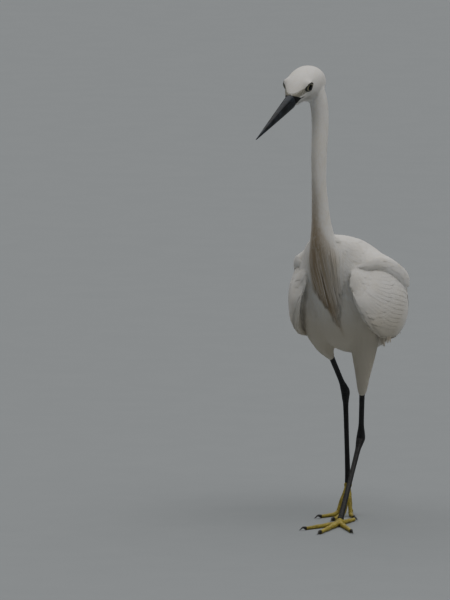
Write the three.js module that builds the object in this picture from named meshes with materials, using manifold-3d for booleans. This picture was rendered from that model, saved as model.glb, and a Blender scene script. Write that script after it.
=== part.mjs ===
// A little egret, life size, in a slow wading step with its neck held up.
// The bird faces -Y, its left side is at +X and it stands on z = 0. All sizes are millimetres.
// Flesh is lofted through short lists of stations and parted by thin cuts where a person would
// name the parts. Feathers are thin vanes, rooted in the part that they grow from.

import * as THREE from 'three';
import { mergeVertices } from 'three/addons/utils/BufferGeometryUtils.js';
import Module from 'manifold-3d';

const wasm = await Module();
wasm.setup();

// Driving dimensions.
const GAP = 0.3;
const WELD = 1e-3;
const CULMEN = 85;
const BILL_BASE_DEPTH = 15;
const BILL_BASE_WIDTH = 11.5;
const EYE_RADIUS = 6.2;
const EYE_OPENING = [11, 6.8];
const BARE_TIBIA_RADIUS = 2.75;
const TARSUS_RADIUS = 2.7;
const ANKLE_RADIUS = 4.4;
const TOE_RADIUS = 2.9;
const MIDDLE_TOE = 64;
const OUTER_TOE = 53;
const INNER_TOE = 47;
const HIND_TOE = 34;
const CLAW_LENGTH = 9;
const VANE_THICKNESS = 0.6;
const VANE_EDGE = 0.5;
const ROOT_DEPTH = 1.6;

// The head's own frame sits between the eyes, with x to the bird's left, y to the nape, z up.
const HEAD_PLACE = new THREE.Vector3(-13, -131, 449);
const HEAD_PITCH = THREE.MathUtils.degToRad(24.9);
const HEAD_ROLL = THREE.MathUtils.degToRad(4);
const HEAD_YAW = THREE.MathUtils.degToRad(-7.8);

// Places of the leg joints. The left foot is flat, the right one is about to leave the floor.
const LEGS = {
  left: {
    bareFrom: [12.2, 3.4, 126.5],
    ankle: [5.4, 21.6, 81],
    toeJoint: [3, -41, 3.4],
  },
  right: {
    bareFrom: [-18.6, 1.3, 162],
    ankle: [-14, 31, 126],
    toeJoint: [-13, 37, 30],
  },
};

// Stations are [x, y, z, half width, half height above, half height below].
const TORSO = [
  [0, -91, 290, 8, 8, 8],
  [0, -84, 287, 16, 13, 15],
  [0.5, -73, 280, 26, 19, 26],
  [1, -55, 267, 36, 31, 38],
  [2, -31, 250, 43, 43, 51],
  [2, -3, 231, 45, 52, 59],
  [2, 28, 214, 43, 48, 52],
  [1, 60, 201, 33, 34, 36],
  [0, 90, 191, 20, 19, 22],
  [0, 112, 185, 11, 9, 12],
  [0, 119, 183, 6, 4, 6],
];
const NECK = [
  [-4, -101, 447, 8, 9, 9],
  [-2, -99.5, 436, 9, 11, 11],
  [-0.5, -97, 420, 8.9, 11, 11.5],
  [0, -98, 403, 8.5, 11, 11],
  [0, -101, 380, 8.1, 10.6, 10.8],
  [0, -101.5, 352, 7.5, 10.4, 10.6],
  [0, -98.5, 332, 8.3, 11, 11.2],
  [0, -94.5, 312, 9.6, 12, 12.6],
  [0, -89.5, 293, 12.6, 14, 15],
  [0, -82, 278, 17, 16, 18],
  [0, -73, 266, 20, 18, 18],
];
const HEAD = [
  [0, -21, -6, 4.6, 4.5, 5],
  [0, -17, -5.6, 6.8, 6.9, 7.4],
  [0, -8, -4, 10.6, 10.4, 10],
  [0, 2, -2.8, 13.6, 12.8, 13.4],
  [0, 13, -3.5, 15.3, 13.8, 18],
  [0, 25, -7, 15, 14.2, 20.5],
  [0, 35, -13.5, 12.8, 12.4, 17],
  [0, 41.5, -22, 10, 9.5, 11],
];
const THIGHS = {
  left: [
    [28, -38, 230, 14, 15, 15],
    [26, -30, 214, 18, 20, 20],
    [23, -21, 193, 16, 19, 19],
    [19.2, -13, 169, 12.2, 13.4, 13.4],
    [15.8, -5.2, 148, 8.2, 9, 9],
    [13.1, 1, 131, 5.4, 5.6, 5.6],
    [12.2, 3.3, 127, 4, 4, 4],
  ],
  right: [
    [-26, -48, 238, 12, 13, 13],
    [-25.5, -38, 222, 17, 18, 18],
    [-24.5, -25, 200, 16.5, 18, 18],
    [-23, -14, 181, 10.4, 13, 13],
    [-20.5, -4.5, 168.5, 5.8, 7, 7],
    [-18.6, 1.2, 162.4, 3.8, 4, 4],
  ],
};
// The scapular mass of the left side, which lies over the top of the folded wing.
const SHOULDER = [
  [25, -70, 264, 4, 5, 5],
  [33, -46, 265, 11, 13, 12],
  [38.5, -14, 254, 16, 16, 16],
  [38.5, 16, 240, 15, 15, 15],
  [32.5, 46, 223, 12, 12, 12],
  [24, 76, 206, 8, 8, 8],
  [15, 104, 192, 4, 4, 4],
];
// Wing stations are for the bird's left side: [x, y, z, half thickness, half height, wrap].
const WING = [
  [23, -81, 250, 1.5, 6, 0.5],
  [29, -75, 248.5, 4, 16, 3],
  [38, -60, 239.5, 5.5, 30, 7],
  [46, -38, 231, 5.8, 39, 11],
  [48.5, -8, 225.5, 5.2, 40, 14],
  [44.5, 24, 217.5, 4.4, 35, 13],
  [36, 56, 207, 3.4, 26, 10],
  [25, 86, 197, 2.6, 17, 6],
  [15.5, 112, 189, 1.8, 9, 3],
  [9.5, 131, 183, 1.1, 4, 1],
];
const WING_SHIFT = 2.75;

const MATERIALS = {
  plumage: new THREE.MeshStandardMaterial({ color: 0xd9d7cf, roughness: 0.9, metalness: 0 }),
  bill: new THREE.MeshStandardMaterial({ color: 0x2a2e36, roughness: 0.45, metalness: 0 }),
  eye: new THREE.MeshStandardMaterial({ color: 0xb9b48a, roughness: 0.12, metalness: 0 }),
  leg: new THREE.MeshStandardMaterial({ color: 0x1c1d20, roughness: 0.6, metalness: 0 }),
  toe: new THREE.MeshStandardMaterial({ color: 0xb6a13a, roughness: 0.6, metalness: 0 }),
  claw: new THREE.MeshStandardMaterial({ color: 0x16161a, roughness: 0.35, metalness: 0 }),
};

const X_AXIS = new THREE.Vector3(1, 0, 0);

// Sections are a little fuller above than an ellipse, as a crown or a pair of shoulders is.
const FULLNESS = 0.85;

// Blend smoothly through equally spaced rows of numbers, t from 0 to 1.
function blendRows(rows, t) {
  const last = rows.length - 1;
  const place = THREE.MathUtils.clamp(t, 0, 1) * last;
  const index = Math.min(Math.floor(place), last - 1);
  const f = place - index;
  const row = (k) => rows[THREE.MathUtils.clamp(k, 0, last)];
  return rows[0].map((_, c) => {
    const [p, q, r, s] = [row(index - 1)[c], row(index)[c], row(index + 1)[c], row(index + 2)[c]];
    const slopeIn = (r - p) / 2;
    const slopeOut = (s - q) / 2;
    const bend = 2 * q - 2 * r + slopeIn + slopeOut;
    const rise = -3 * q + 3 * r - 2 * slopeIn - slopeOut;
    return ((bend * f + rise) * f + slopeIn) * f + q;
  });
}

// The place, forward, side and up directions of a line of stations at t.
function frameAt(rows, t) {
  const step = 0.01;
  const here = blendRows(rows, t);
  const before = blendRows(rows, Math.max(t - step, 0));
  const after = blendRows(rows, Math.min(t + step, 1));
  const place = new THREE.Vector3(...here.slice(0, 3));
  const along = new THREE.Vector3(...after.slice(0, 3));
  along.sub(new THREE.Vector3(...before.slice(0, 3))).normalize();
  const side = X_AXIS.clone().addScaledVector(along, -X_AXIS.dot(along)).normalize();
  const up = side.clone().cross(along);
  return { place, along, side, up, sizes: here.slice(3) };
}

// A point on the skin round a line of stations. Angle 0 is the side, a quarter turn is up.
function skinPoint(rows, t, angle, grow = 0) {
  const { place, side, up, sizes } = frameAt(rows, t);
  const [width, above, below] = sizes;
  const rise = Math.sin(angle);
  const height = rise > 0 ? (above + grow) * rise ** FULLNESS : (below + grow) * rise;
  return place
    .addScaledVector(side, (width + grow) * Math.cos(angle))
    .addScaledVector(up, height);
}

// The outward direction of a surface given as a function of two numbers.
function normalOf(surface, u, v, inside) {
  const step = 0.02;
  const alongU = surface(u + step, v).sub(surface(u - step, v));
  const alongV = surface(u, v + step).sub(surface(u, v - step));
  const normal = alongU.cross(alongV).normalize();
  return normal.dot(surface(u, v).sub(inside)) < 0 ? normal.negate() : normal;
}

// A closed geometry with its faces turned outwards.
function closedGeometry(points, faces) {
  const size = ([a, b, c]) => points[a].dot(points[b].clone().cross(points[c]));
  const volume = faces.reduce((sum, face) => sum + size(face), 0);
  const outward = volume < 0 ? faces.map(([a, b, c]) => [a, c, b]) : faces;
  const geometry = new THREE.BufferGeometry().setFromPoints(points);
  geometry.setIndex(outward.flat());
  return geometry;
}

// Rings of equal count joined into a closed body, with a fan on each end.
function loftRings(rings) {
  const count = rings[0].length;
  const points = rings.flat();
  const faces = [];
  for (let i = 0; i + 1 < rings.length; i += 1) {
    for (let j = 0; j < count; j += 1) {
      const k = (j + 1) % count;
      const a = i * count + j;
      const b = i * count + k;
      faces.push([a, b, b + count], [a, b + count, a + count]);
    }
  }
  for (const [ring, turned] of [[0, false], [rings.length - 1, true]]) {
    const centre = new THREE.Vector3();
    rings[ring].forEach((point) => centre.addScaledVector(point, 1 / count));
    const hub = points.push(centre) - 1;
    for (let j = 0; j < count; j += 1) {
      const a = ring * count + j;
      const b = ring * count + ((j + 1) % count);
      faces.push(turned ? [a, b, hub] : [b, a, hub]);
    }
  }
  return closedGeometry(points, faces);
}

function solidOf(geometry) {
  geometry.deleteAttribute('normal');
  geometry.deleteAttribute('uv');
  const merged = mergeVertices(geometry, WELD);
  return new wasm.Manifold(new wasm.Mesh({
    numProp: 3,
    vertProperties: new Float32Array(merged.attributes.position.array),
    triVerts: new Uint32Array(merged.index.array),
  }));
}

function largestOf(solid) {
  const bodies = solid.decompose();
  return bodies.reduce((best, body) => (body.volume() > best.volume() ? body : best));
}

// A smooth body round a line of stations, grown outwards by a clearance where one is given.
function bodyAlong(rows, sides, steps, grow = 0) {
  const rings = [];
  for (let i = 0; i < steps; i += 1) {
    const t = i / (steps - 1);
    const ring = [];
    for (let j = 0; j < sides; j += 1) {
      ring.push(skinPoint(rows, t, (2 * Math.PI * j) / sides, grow));
    }
    rings.push(ring);
  }
  const { along: first } = frameAt(rows, 0);
  const { along: last } = frameAt(rows, 1);
  rings[0].forEach((point) => point.addScaledVector(first, -grow));
  rings[steps - 1].forEach((point) => point.addScaledVector(last, grow));
  return solidOf(loftRings(rings));
}

// A large slab whose face passes through a point, filling the side that the direction points to.
function slab(point, direction, depth = 400) {
  const box = new THREE.BoxGeometry(600, 600, depth);
  box.translate(0, 0, depth / 2);
  box.applyQuaternion(new THREE.Quaternion().setFromUnitVectors(
    new THREE.Vector3(0, 0, 1),
    direction.clone().normalize(),
  ));
  box.translate(point.x, point.y, point.z);
  return solidOf(box);
}

// One feather or lock: a thin blade that follows a sheet, blunt at its root, slim at its tip.
// sheet(t, aside) gives { place, out } at t along the shaft and a distance to its left.
function vane(sheet, width, { steps = 3, roll = 0, tip = 0.35, root = 0.6, thick = 0 } = {}) {
  const points = [];
  for (let i = 0; i <= steps; i += 1) {
    const t = i / steps;
    const swell = THREE.MathUtils.lerp(root, 1, Math.min(t / 0.5, 1));
    const half = (width / 2) * swell * (i === steps ? tip : 1);
    const slim = i === steps ? 0.6 : 1;
    for (const [across, rise] of [[-1, VANE_EDGE], [0, VANE_THICKNESS], [1, VANE_EDGE]]) {
      const { place, out } = sheet(t, across * half);
      for (const sign of [1, -1]) {
        const level = roll * across * half + (sign * (rise * slim + thick)) / 2;
        points.push(place.clone().addScaledVector(out, level));
      }
    }
  }
  const faces = [];
  const quad = (a, b, c, d) => faces.push([a, b, c], [a, c, d]);
  for (let i = 0; i < steps; i += 1) {
    const a = i * 6;
    const b = a + 6;
    for (const j of [0, 2]) {
      quad(a + j, a + j + 2, b + j + 2, b + j);
      faces.push([a + j + 1, b + j + 3, a + j + 3], [a + j + 1, b + j + 1, b + j + 3]);
    }
    quad(a + 1, a, b, b + 1);
    quad(a + 4, a + 5, b + 5, b + 4);
  }
  for (const [a, turned] of [[0, false], [steps * 6, true]]) {
    for (const j of [0, 2]) {
      const corners = [a + j, a + j + 1, a + j + 3, a + j + 2];
      quad(...(turned ? corners.reverse() : corners));
    }
  }
  return solidOf(closedGeometry(points, faces));
}

// How far a shaft stands off its sheet: sunk in at the root, lifted free towards the tip.
function liftAt(t, lift) {
  return THREE.MathUtils.lerp(-ROOT_DEPTH, lift, THREE.MathUtils.smoothstep(t, 0, 0.6));
}

// The same small run of numbers every time, for the slight differences among feathers.
function seededRandom(seed) {
  let state = seed;
  return () => {
    state = (state * 1664525 + 1013904223) % 4294967296;
    return state / 4294967296;
  };
}

const headFrame = new THREE.Matrix4().compose(
  HEAD_PLACE,
  new THREE.Quaternion().setFromEuler(new THREE.Euler(HEAD_PITCH, HEAD_ROLL, HEAD_YAW, 'ZXY')),
  new THREE.Vector3(1, 1, 1),
);

// Move a solid made in the head's own frame to its place on the bird.
function onHead(solid) {
  return solid.transform(headFrame.elements);
}

const bird = new THREE.Group();
bird.name = 'little_egret';

function geometryOf(solid) {
  const { vertProperties, triVerts } = solid.getMesh();
  const geometry = new THREE.BufferGeometry();
  geometry.setAttribute('position', new THREE.BufferAttribute(vertProperties, 3));
  geometry.setIndex(new THREE.BufferAttribute(triVerts, 1));
  geometry.computeVertexNormals();
  return geometry;
}

// Joins can leave slivers without volume. Welding parts them from the body, which is kept.
function addPart(name, solid, material) {
  const welded = solidOf(geometryOf(largestOf(solid)));
  const mesh = new THREE.Mesh(geometryOf(largestOf(welded)), material);
  mesh.name = name;
  bird.add(mesh);
}

// The bill: an arched half for each mandible, flat where the two meet along the line of the mouth.
const BILL_BASE = 19;
const BILL_TIP = BILL_BASE + CULMEN;
const MOUTH_AT_BASE = -6.4;
const GAPE = 3;

function mouthHeight(forward) {
  return THREE.MathUtils.mapLinear(forward, BILL_BASE, BILL_TIP, MOUTH_AT_BASE, 0.2);
}

function mandible(direction, share, shorter) {
  const sides = 8;
  const steps = 9;
  const rings = [];
  for (let i = 0; i < steps; i += 1) {
    const t = i / (steps - 1);
    const forward = THREE.MathUtils.lerp(BILL_BASE + GAP, BILL_TIP - shorter, t);
    const slim = 1 - t ** 1.08;
    const width = (BILL_BASE_WIDTH / 2) * (0.06 + 0.94 * slim);
    const height = BILL_BASE_DEPTH * share * (0.07 + 0.93 * slim);
    const flat = mouthHeight(forward) + direction * (GAP / 2);
    const ring = [];
    for (let j = 0; j <= sides; j += 1) {
      const angle = (Math.PI * j) / sides;
      const arch = flat + direction * height * Math.sin(angle) ** 0.85;
      ring.push(new THREE.Vector3(width * Math.cos(angle), -forward, arch));
    }
    ring.push(new THREE.Vector3(0, -forward, flat));
    rings.push(ring);
  }
  return solidOf(loftRings(rings));
}

function nostril(side) {
  const slit = new THREE.SphereGeometry(1, 8, 6);
  slit.scale(1.1, 4, 0.55);
  slit.translate(side * 4.9, -BILL_BASE - 10, mouthHeight(BILL_BASE + 10) + 4);
  return solidOf(slit);
}

const upperMandible = mandible(1, 0.55, 0).subtract(nostril(1)).subtract(nostril(-1));
const lowerMandible = mandible(-1, 0.45, 2);
addPart('bill_upper', onHead(upperMandible), MATERIALS.bill);
addPart('bill_lower', onHead(lowerMandible), MATERIALS.bill);

// Each eye is a ball behind lids: a low ring on the cheek with an almond opening to the ball.
const EYE_TURN = 0.28;

function eyePart(side, geometry, depth) {
  geometry.rotateZ(-side * EYE_TURN);
  geometry.translate(side * (14.4 - depth), 1.5, 0.6);
  return solidOf(geometry);
}

function eyeball(side, grow = 0) {
  return eyePart(side, new THREE.SphereGeometry(EYE_RADIUS + grow, 12, 7), EYE_RADIUS - 0.9);
}

function lids(side) {
  const ring = new THREE.SphereGeometry(1, 10, 6);
  ring.scale(4.6, EYE_OPENING[0] * 0.76, EYE_OPENING[1] * 0.95);
  return eyePart(side, ring, 4);
}

function lidOpening(side) {
  const corner = EYE_OPENING[0] / 2;
  const rise = EYE_OPENING[1] / 2;
  const almond = new THREE.Shape();
  almond.moveTo(-corner, 0);
  almond.bezierCurveTo(-corner * 0.6, rise * 1.2, corner * 0.6, rise * 1.2, corner, 0);
  almond.bezierCurveTo(corner * 0.6, -rise * 1.2, -corner * 0.6, -rise * 1.2, -corner, 0);
  const hole = new THREE.ExtrudeGeometry(almond, { depth: 10, bevelEnabled: false, curveSegments: 4 });
  hole.applyMatrix4(new THREE.Matrix4().makeBasis(
    new THREE.Vector3(0, side, 0),
    new THREE.Vector3(0, 0, 1),
    new THREE.Vector3(side, 0, 0),
  ));
  return eyePart(side, hole, 5.5);
}

const HEAD_SIDES = 16;
const HEAD_STEPS = 13;

function mouthCleft() {
  const length = BILL_BASE - GAPE + 2;
  const cleft = new THREE.BoxGeometry(60, length, 0.7);
  cleft.rotateX(0.09);
  const middle = (BILL_BASE + 2 + GAPE) / 2;
  cleft.translate(0, -middle, mouthHeight(middle));
  return solidOf(cleft);
}

const headFront = slab(new THREE.Vector3(0, -BILL_BASE, 0), new THREE.Vector3(0, 1, 0));
let headSolid = bodyAlong(HEAD, HEAD_SIDES, HEAD_STEPS).intersect(headFront).subtract(mouthCleft());
for (const side of [1, -1]) {
  headSolid = headSolid.add(lids(side)).subtract(lidOpening(side)).subtract(eyeball(side, GAP));
}
addPart('head', onHead(headSolid), MATERIALS.plumage);
addPart('eye_left', onHead(eyeball(1)), MATERIALS.eye);
addPart('eye_right', onHead(eyeball(-1)), MATERIALS.eye);

// The neck, parted at its middle and where it widens into the shoulders.
const NECK_SIDES = 12;
const NECK_STEPS = 19;
const NECK_MIDDLE = 0.42;
const NECK_BASE = 0.78;

// The part of a solid beyond a station, or before it where the direction is -1.
function beyond(rows, t, direction, clear = 0) {
  const { place, along } = frameAt(rows, t);
  const normal = along.multiplyScalar(direction);
  return slab(place.addScaledVector(normal, clear), normal);
}

const neck = bodyAlong(NECK, NECK_SIDES, NECK_STEPS);
const neckUpper = neck.intersect(beyond(NECK, NECK_MIDDLE, -1, GAP))
  .subtract(onHead(bodyAlong(HEAD, HEAD_SIDES, HEAD_STEPS, GAP)));
const neckLower = neck.intersect(beyond(NECK, NECK_MIDDLE, 1))
  .intersect(beyond(NECK, NECK_BASE, -1, GAP));
addPart('neck_upper', neckUpper, MATERIALS.plumage);
addPart('neck_lower', neckLower, MATERIALS.plumage);

// The torso takes in the root of the neck.
const TORSO_SIDES = 18;
const TORSO_STEPS = 14;
const SHOULDER_SIDES = 10;
const SHOULDER_STEPS = 9;

function torsoCore(grow) {
  let trunk = bodyAlong(TORSO, TORSO_SIDES, TORSO_STEPS, grow);
  for (const side of [1, -1]) {
    const rows = SHOULDER.map(([x, ...rest]) => [x * side + WING_SHIFT, ...rest]);
    trunk = trunk.add(bodyAlong(rows, SHOULDER_SIDES, SHOULDER_STEPS, grow));
  }
  const neckRoot = bodyAlong(NECK, NECK_SIDES, NECK_STEPS, grow);
  return trunk.add(neckRoot).intersect(beyond(NECK, NECK_BASE, 1, -grow));
}

// The first place where a line going back from in front of the bird meets the breast.
const breast = new THREE.Mesh(geometryOf(torsoCore(0)));
const finder = new THREE.Raycaster();
const FROM_BREAST = new THREE.Vector3(0, -1, 0.15).normalize();

function breastPoint(x, z) {
  finder.set(new THREE.Vector3(x, -300, z), new THREE.Vector3(0, 1, 0));
  return finder.intersectObject(breast)[0].point;
}

// Long breast plumes hang from the root of the neck in two tiers. The middle ones are the
// longest and lie on top.
const PLUME_TIERS = [
  {
    count: 7,
    lift: 1,
    rootZ: 288,
    spread: 16,
    drop: 9,
    tipZ: 206,
    tipSpread: 8,
    tipRise: 42,
    aside: 6,
  },
  {
    count: 5,
    lift: 2.2,
    rootZ: 294,
    spread: 13,
    drop: 7,
    tipZ: 240,
    tipSpread: 12,
    tipRise: 16,
    aside: 4,
  },
];
const PLUME_WIDTH = 6.4;
const PLUME_LAYER = 1.1;

function plume(tier, across, random) {
  const off = Math.abs(across);
  const rootZ = tier.rootZ - tier.drop * off;
  const tipZ = tier.tipZ + tier.tipRise * off ** 1.3 + 4 * random();
  const height = tier.lift + (1 - off) * PLUME_LAYER * (tier.count / 2);
  const sheet = (t, aside) => {
    const x = THREE.MathUtils.lerp(tier.spread * across, tier.aside + tier.tipSpread * across, t);
    const place = breastPoint(x + aside, THREE.MathUtils.lerp(rootZ, tipZ, t));
    return { place: place.addScaledVector(FROM_BREAST, liftAt(t, height)), out: FROM_BREAST };
  };
  return vane(sheet, PLUME_WIDTH, { steps: 4, tip: 0.15, root: 0.8 });
}

const torsoCleared = torsoCore(GAP);
let torsoSolid = torsoCore(0);
const plumeDraw = seededRandom(11);
for (const tier of PLUME_TIERS) {
  for (let k = 0; k < tier.count; k += 1) {
    const across = (2 * k) / (tier.count - 1) - 1;
    torsoSolid = torsoSolid.add(plume(tier, across, plumeDraw));
  }
}
addPart('torso', torsoSolid, MATERIALS.plumage);

// Thighs are feathered down to the bare leg.
const thighs = {};
for (const [name, rows] of Object.entries(THIGHS)) {
  thighs[name] = bodyAlong(rows, 14, 14, GAP);
  addPart(`thigh_${name}`, bodyAlong(rows, 14, 14).subtract(torsoCleared), MATERIALS.plumage);
}

// The folded tail starts face to face with the end of the torso.
const TAIL = [
  [0, 102, 187.5, 5, 2.6, 4],
  [0, 110, 186, 8, 2.6, 4],
  [0, 120, 183, 8, 1.6, 3.4],
  [0, 130, 180, 6.5, 0.8, 2.6],
  [0, 136, 178.5, 4, 0.5, 1.5],
];
const TAIL_PAIRS = 3;
const TAIL_FEATHER = { width: 9, spread: 2.7, layer: 1.15 };

// Tail feathers lie in a stack, the middle one on top and each pair lower and further out.
function tailFeather(place, grow) {
  const { width, spread, layer } = TAIL_FEATHER;
  const off = Math.abs(place);
  const sheet = (t, aside) => {
    const x = spread * place * (0.25 + 0.75 * t) + aside;
    const y = THREE.MathUtils.lerp(104, 146 - 1.4 * off + grow, t);
    const arch = 1.5 * Math.sin(Math.PI * t) - 0.03 * x * x;
    const z = THREE.MathUtils.lerp(187.5, 177.5, t) + arch - layer * off * t;
    return { place: new THREE.Vector3(x, y, z), out: new THREE.Vector3(0, 0.2, 1).normalize() };
  };
  return vane(sheet, width + 2 * grow, { tip: 0.5, thick: 2 * grow });
}

function tailSolid(grow) {
  let solid = bodyAlong(TAIL, 12, 10, grow);
  for (let place = -TAIL_PAIRS; place <= TAIL_PAIRS; place += 1) {
    solid = solid.add(tailFeather(place, grow));
  }
  return solid;
}

const tailCleared = tailSolid(GAP);
addPart('tail', tailSolid(0).subtract(torsoCleared), MATERIALS.plumage);

// Folded wings: a curved core over the side of the torso, with tiers of feathers laid over it.
const WING_SIDES = 12;
const WING_STEPS = 12;
const LOWER_WRAP = 0.45;

// A point on the outside of a wing. Angle 0 is the middle of its outer face, positive is upwards.
function wingPoint(side, u, angle) {
  const { place, up, sizes } = frameAt(WING, u);
  const [thick, height, wrap] = sizes;
  const rise = Math.sin(angle);
  const bow = rise > 0 ? wrap : wrap * LOWER_WRAP;
  place.addScaledVector(up, height * rise);
  place.x += thick * Math.cos(angle) - bow * rise * rise;
  place.x = place.x * side + WING_SHIFT;
  return place;
}

function wingCore(side) {
  const rings = [];
  for (let i = 0; i < WING_STEPS; i += 1) {
    const ring = [];
    for (let j = 0; j < WING_SIDES; j += 1) {
      ring.push(wingPoint(side, i / (WING_STEPS - 1), (2 * Math.PI * j) / WING_SIDES));
    }
    rings.push(ring);
  }
  return solidOf(loftRings(rings));
}

// Tiers of wing feathers. lowest and highest give the root and the tip of the lowest and the
// highest feather of a tier, each as [along the wing, angle].
const WING_TIERS = [
  // Primaries.
  {
    count: 3,
    width: 10,
    lift: 1,
    steps: 3,
    lowest: [[0.46, -1.1], [0.86, -1]],
    highest: [[0.52, -0.7], [1, -0.2]],
  },
  // Secondaries.
  {
    count: 5,
    width: 13,
    lift: 1.6,
    steps: 4,
    lowest: [[0.28, -1.3], [0.64, -1.25]],
    highest: [[0.34, 0.1], [0.95, 0]],
  },
  // Tertials.
  {
    count: 3,
    width: 14,
    lift: 2.2,
    steps: 4,
    lowest: [[0.34, 0.45], [0.94, 0.25]],
    highest: [[0.3, 1.1], [0.84, 1]],
  },
  // Greater coverts.
  {
    count: 5,
    width: 15,
    lift: 1.9,
    steps: 3,
    lowest: [[0.12, -1.25], [0.4, -1.25]],
    highest: [[0.18, 0.6], [0.55, 0.5]],
  },
  // Median coverts.
  {
    count: 4,
    width: 17,
    lift: 2,
    steps: 2,
    lowest: [[0.04, -1.12], [0.22, -1.15]],
    highest: [[0.05, 0.6], [0.32, 0.5]],
  },
];
const VANE_ROLL = 0.08;
const VANE_LAYER = 0.35;

function mix(from, to, t) {
  return from.map((value, i) => THREE.MathUtils.lerp(value, to[i], t));
}

// A sheet that follows the outside of a wing along a line from the feather's root to its tip.
function wingSheet(side, from, to, lift) {
  const surface = (u, angle) => wingPoint(side, u, angle);
  return (t, aside) => {
    const [u, middle] = mix(from, to, t);
    const turn = 0.05;
    const reach = surface(u, middle + turn).distanceTo(surface(u, middle - turn)) / (2 * turn);
    const angle = middle + aside / Math.max(reach, 4);
    const inside = frameAt(WING, u).place;
    inside.x = inside.x * side + WING_SHIFT;
    const out = normalOf(surface, u, angle, inside);
    return { place: surface(u, angle).addScaledVector(out, liftAt(t, lift)), out };
  };
}

function wingFeathers(side, random) {
  const feathers = [];
  for (const { count, width, lift, steps, lowest, highest } of WING_TIERS) {
    for (let k = 0; k < count; k += 1) {
      const f = k / (count - 1);
      const [from, to] = [0, 1].map((end) => mix(lowest[end], highest[end], f));
      to[0] = Math.min(to[0] + 0.015 * (random() - 0.5), 1);
      const sheet = wingSheet(side, from, to, lift + VANE_LAYER * k);
      feathers.push(vane(sheet, width * (0.96 + 0.08 * random()), { steps, roll: -VANE_ROLL, tip: 0.5 }));
    }
  }
  return feathers;
}

for (const [name, side] of [['left', 1], ['right', -1]]) {
  const feathers = wingFeathers(side, seededRandom(5));
  const feathered = feathers.reduce((solid, feather) => solid.add(feather), wingCore(side));
  const wing = feathered.subtract(torsoCleared).subtract(thighs[name]).subtract(tailCleared);
  addPart(`wing_${name}`, wing, MATERIALS.plumage);
}

// Bare legs: one tube each from the feathers to the toe joint, parted at the ankle.
const LEG_SIDES = 9;
const LEG_STEPS = 18;
const TOE_SIDES = 6;
const TOE_STEPS = 9;
const FLOOR = slab(new THREE.Vector3(0, 0, 0), new THREE.Vector3(0, 0, 1));

function legRows({ bareFrom, ankle, toeJoint }) {
  const [top, knob, end] = [bareFrom, ankle, toeJoint].map((p) => new THREE.Vector3(...p));
  const station = (place, radius) => [place.x, place.y, place.z, radius, radius, radius];
  const shank = (t, radius) => station(top.clone().lerp(knob, t), radius);
  const tarsus = (t, radius) => station(knob.clone().lerp(end, t), radius);
  return [
    shank(-0.03, BARE_TIBIA_RADIUS),
    shank(0.35, BARE_TIBIA_RADIUS * 0.95),
    shank(0.7, BARE_TIBIA_RADIUS),
    shank(0.88, ANKLE_RADIUS * 0.85),
    tarsus(0.01, ANKLE_RADIUS),
    tarsus(0.07, ANKLE_RADIUS * 0.85),
    tarsus(0.16, TARSUS_RADIUS),
    tarsus(0.4, TARSUS_RADIUS * 0.9),
    tarsus(0.65, TARSUS_RADIUS * 0.9),
    tarsus(0.88, TARSUS_RADIUS),
    tarsus(0.97, TARSUS_RADIUS * 1.15),
  ];
}

// The stations of a toe, turned from straight ahead and drooping until it meets the floor.
function toe(joint, turn, length, droop, radius) {
  const start = new THREE.Vector3(...joint);
  const heading = new THREE.Vector3(Math.sin(turn), -Math.cos(turn), 0);
  const rows = [];
  const knuckles = 9;
  let place = start.clone();
  for (let i = 0; i <= knuckles; i += 1) {
    const t = i / knuckles;
    const swell = 1 + 0.1 * Math.cos(t * Math.PI * 6);
    const size = radius * (1 - 0.35 * t) * swell;
    rows.push([place.x, place.y, place.z, size, size, size]);
    const level = size * 0.82;
    const stepLength = length / knuckles;
    const drop = Math.min(Math.max(place.z - level, 0), stepLength * Math.sin(droop));
    const forward = Math.sqrt(stepLength ** 2 - drop ** 2);
    place = place.clone().addScaledVector(heading, forward);
    place.z -= drop;
  }
  return rows;
}

function claw(rows) {
  const { place, along } = frameAt(rows, 1);
  const [, , , radius] = rows[rows.length - 1];
  const stations = [];
  for (let i = 0; i <= 3; i += 1) {
    const t = i / 3;
    const point = place.clone().addScaledVector(along, CLAW_LENGTH * t);
    const size = radius * 0.85 * (1 - 0.85 * t);
    const lift = 1.6 * Math.sin(Math.PI * Math.min(t * 1.1, 1)) - 1.2 * t * t;
    point.z = Math.max(point.z + lift, size + GAP);
    stations.push([point.x, point.y, point.z, size, size, size]);
  }
  return bodyAlong(stations, 5, 4);
}

const TOES = [
  ['middle', 0, MIDDLE_TOE, 1],
  ['outer', 0.52, OUTER_TOE, 0.92],
  ['inner', -0.5, INNER_TOE, 0.9],
  ['hind', Math.PI - 0.12, HIND_TOE, 0.95],
];

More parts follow.
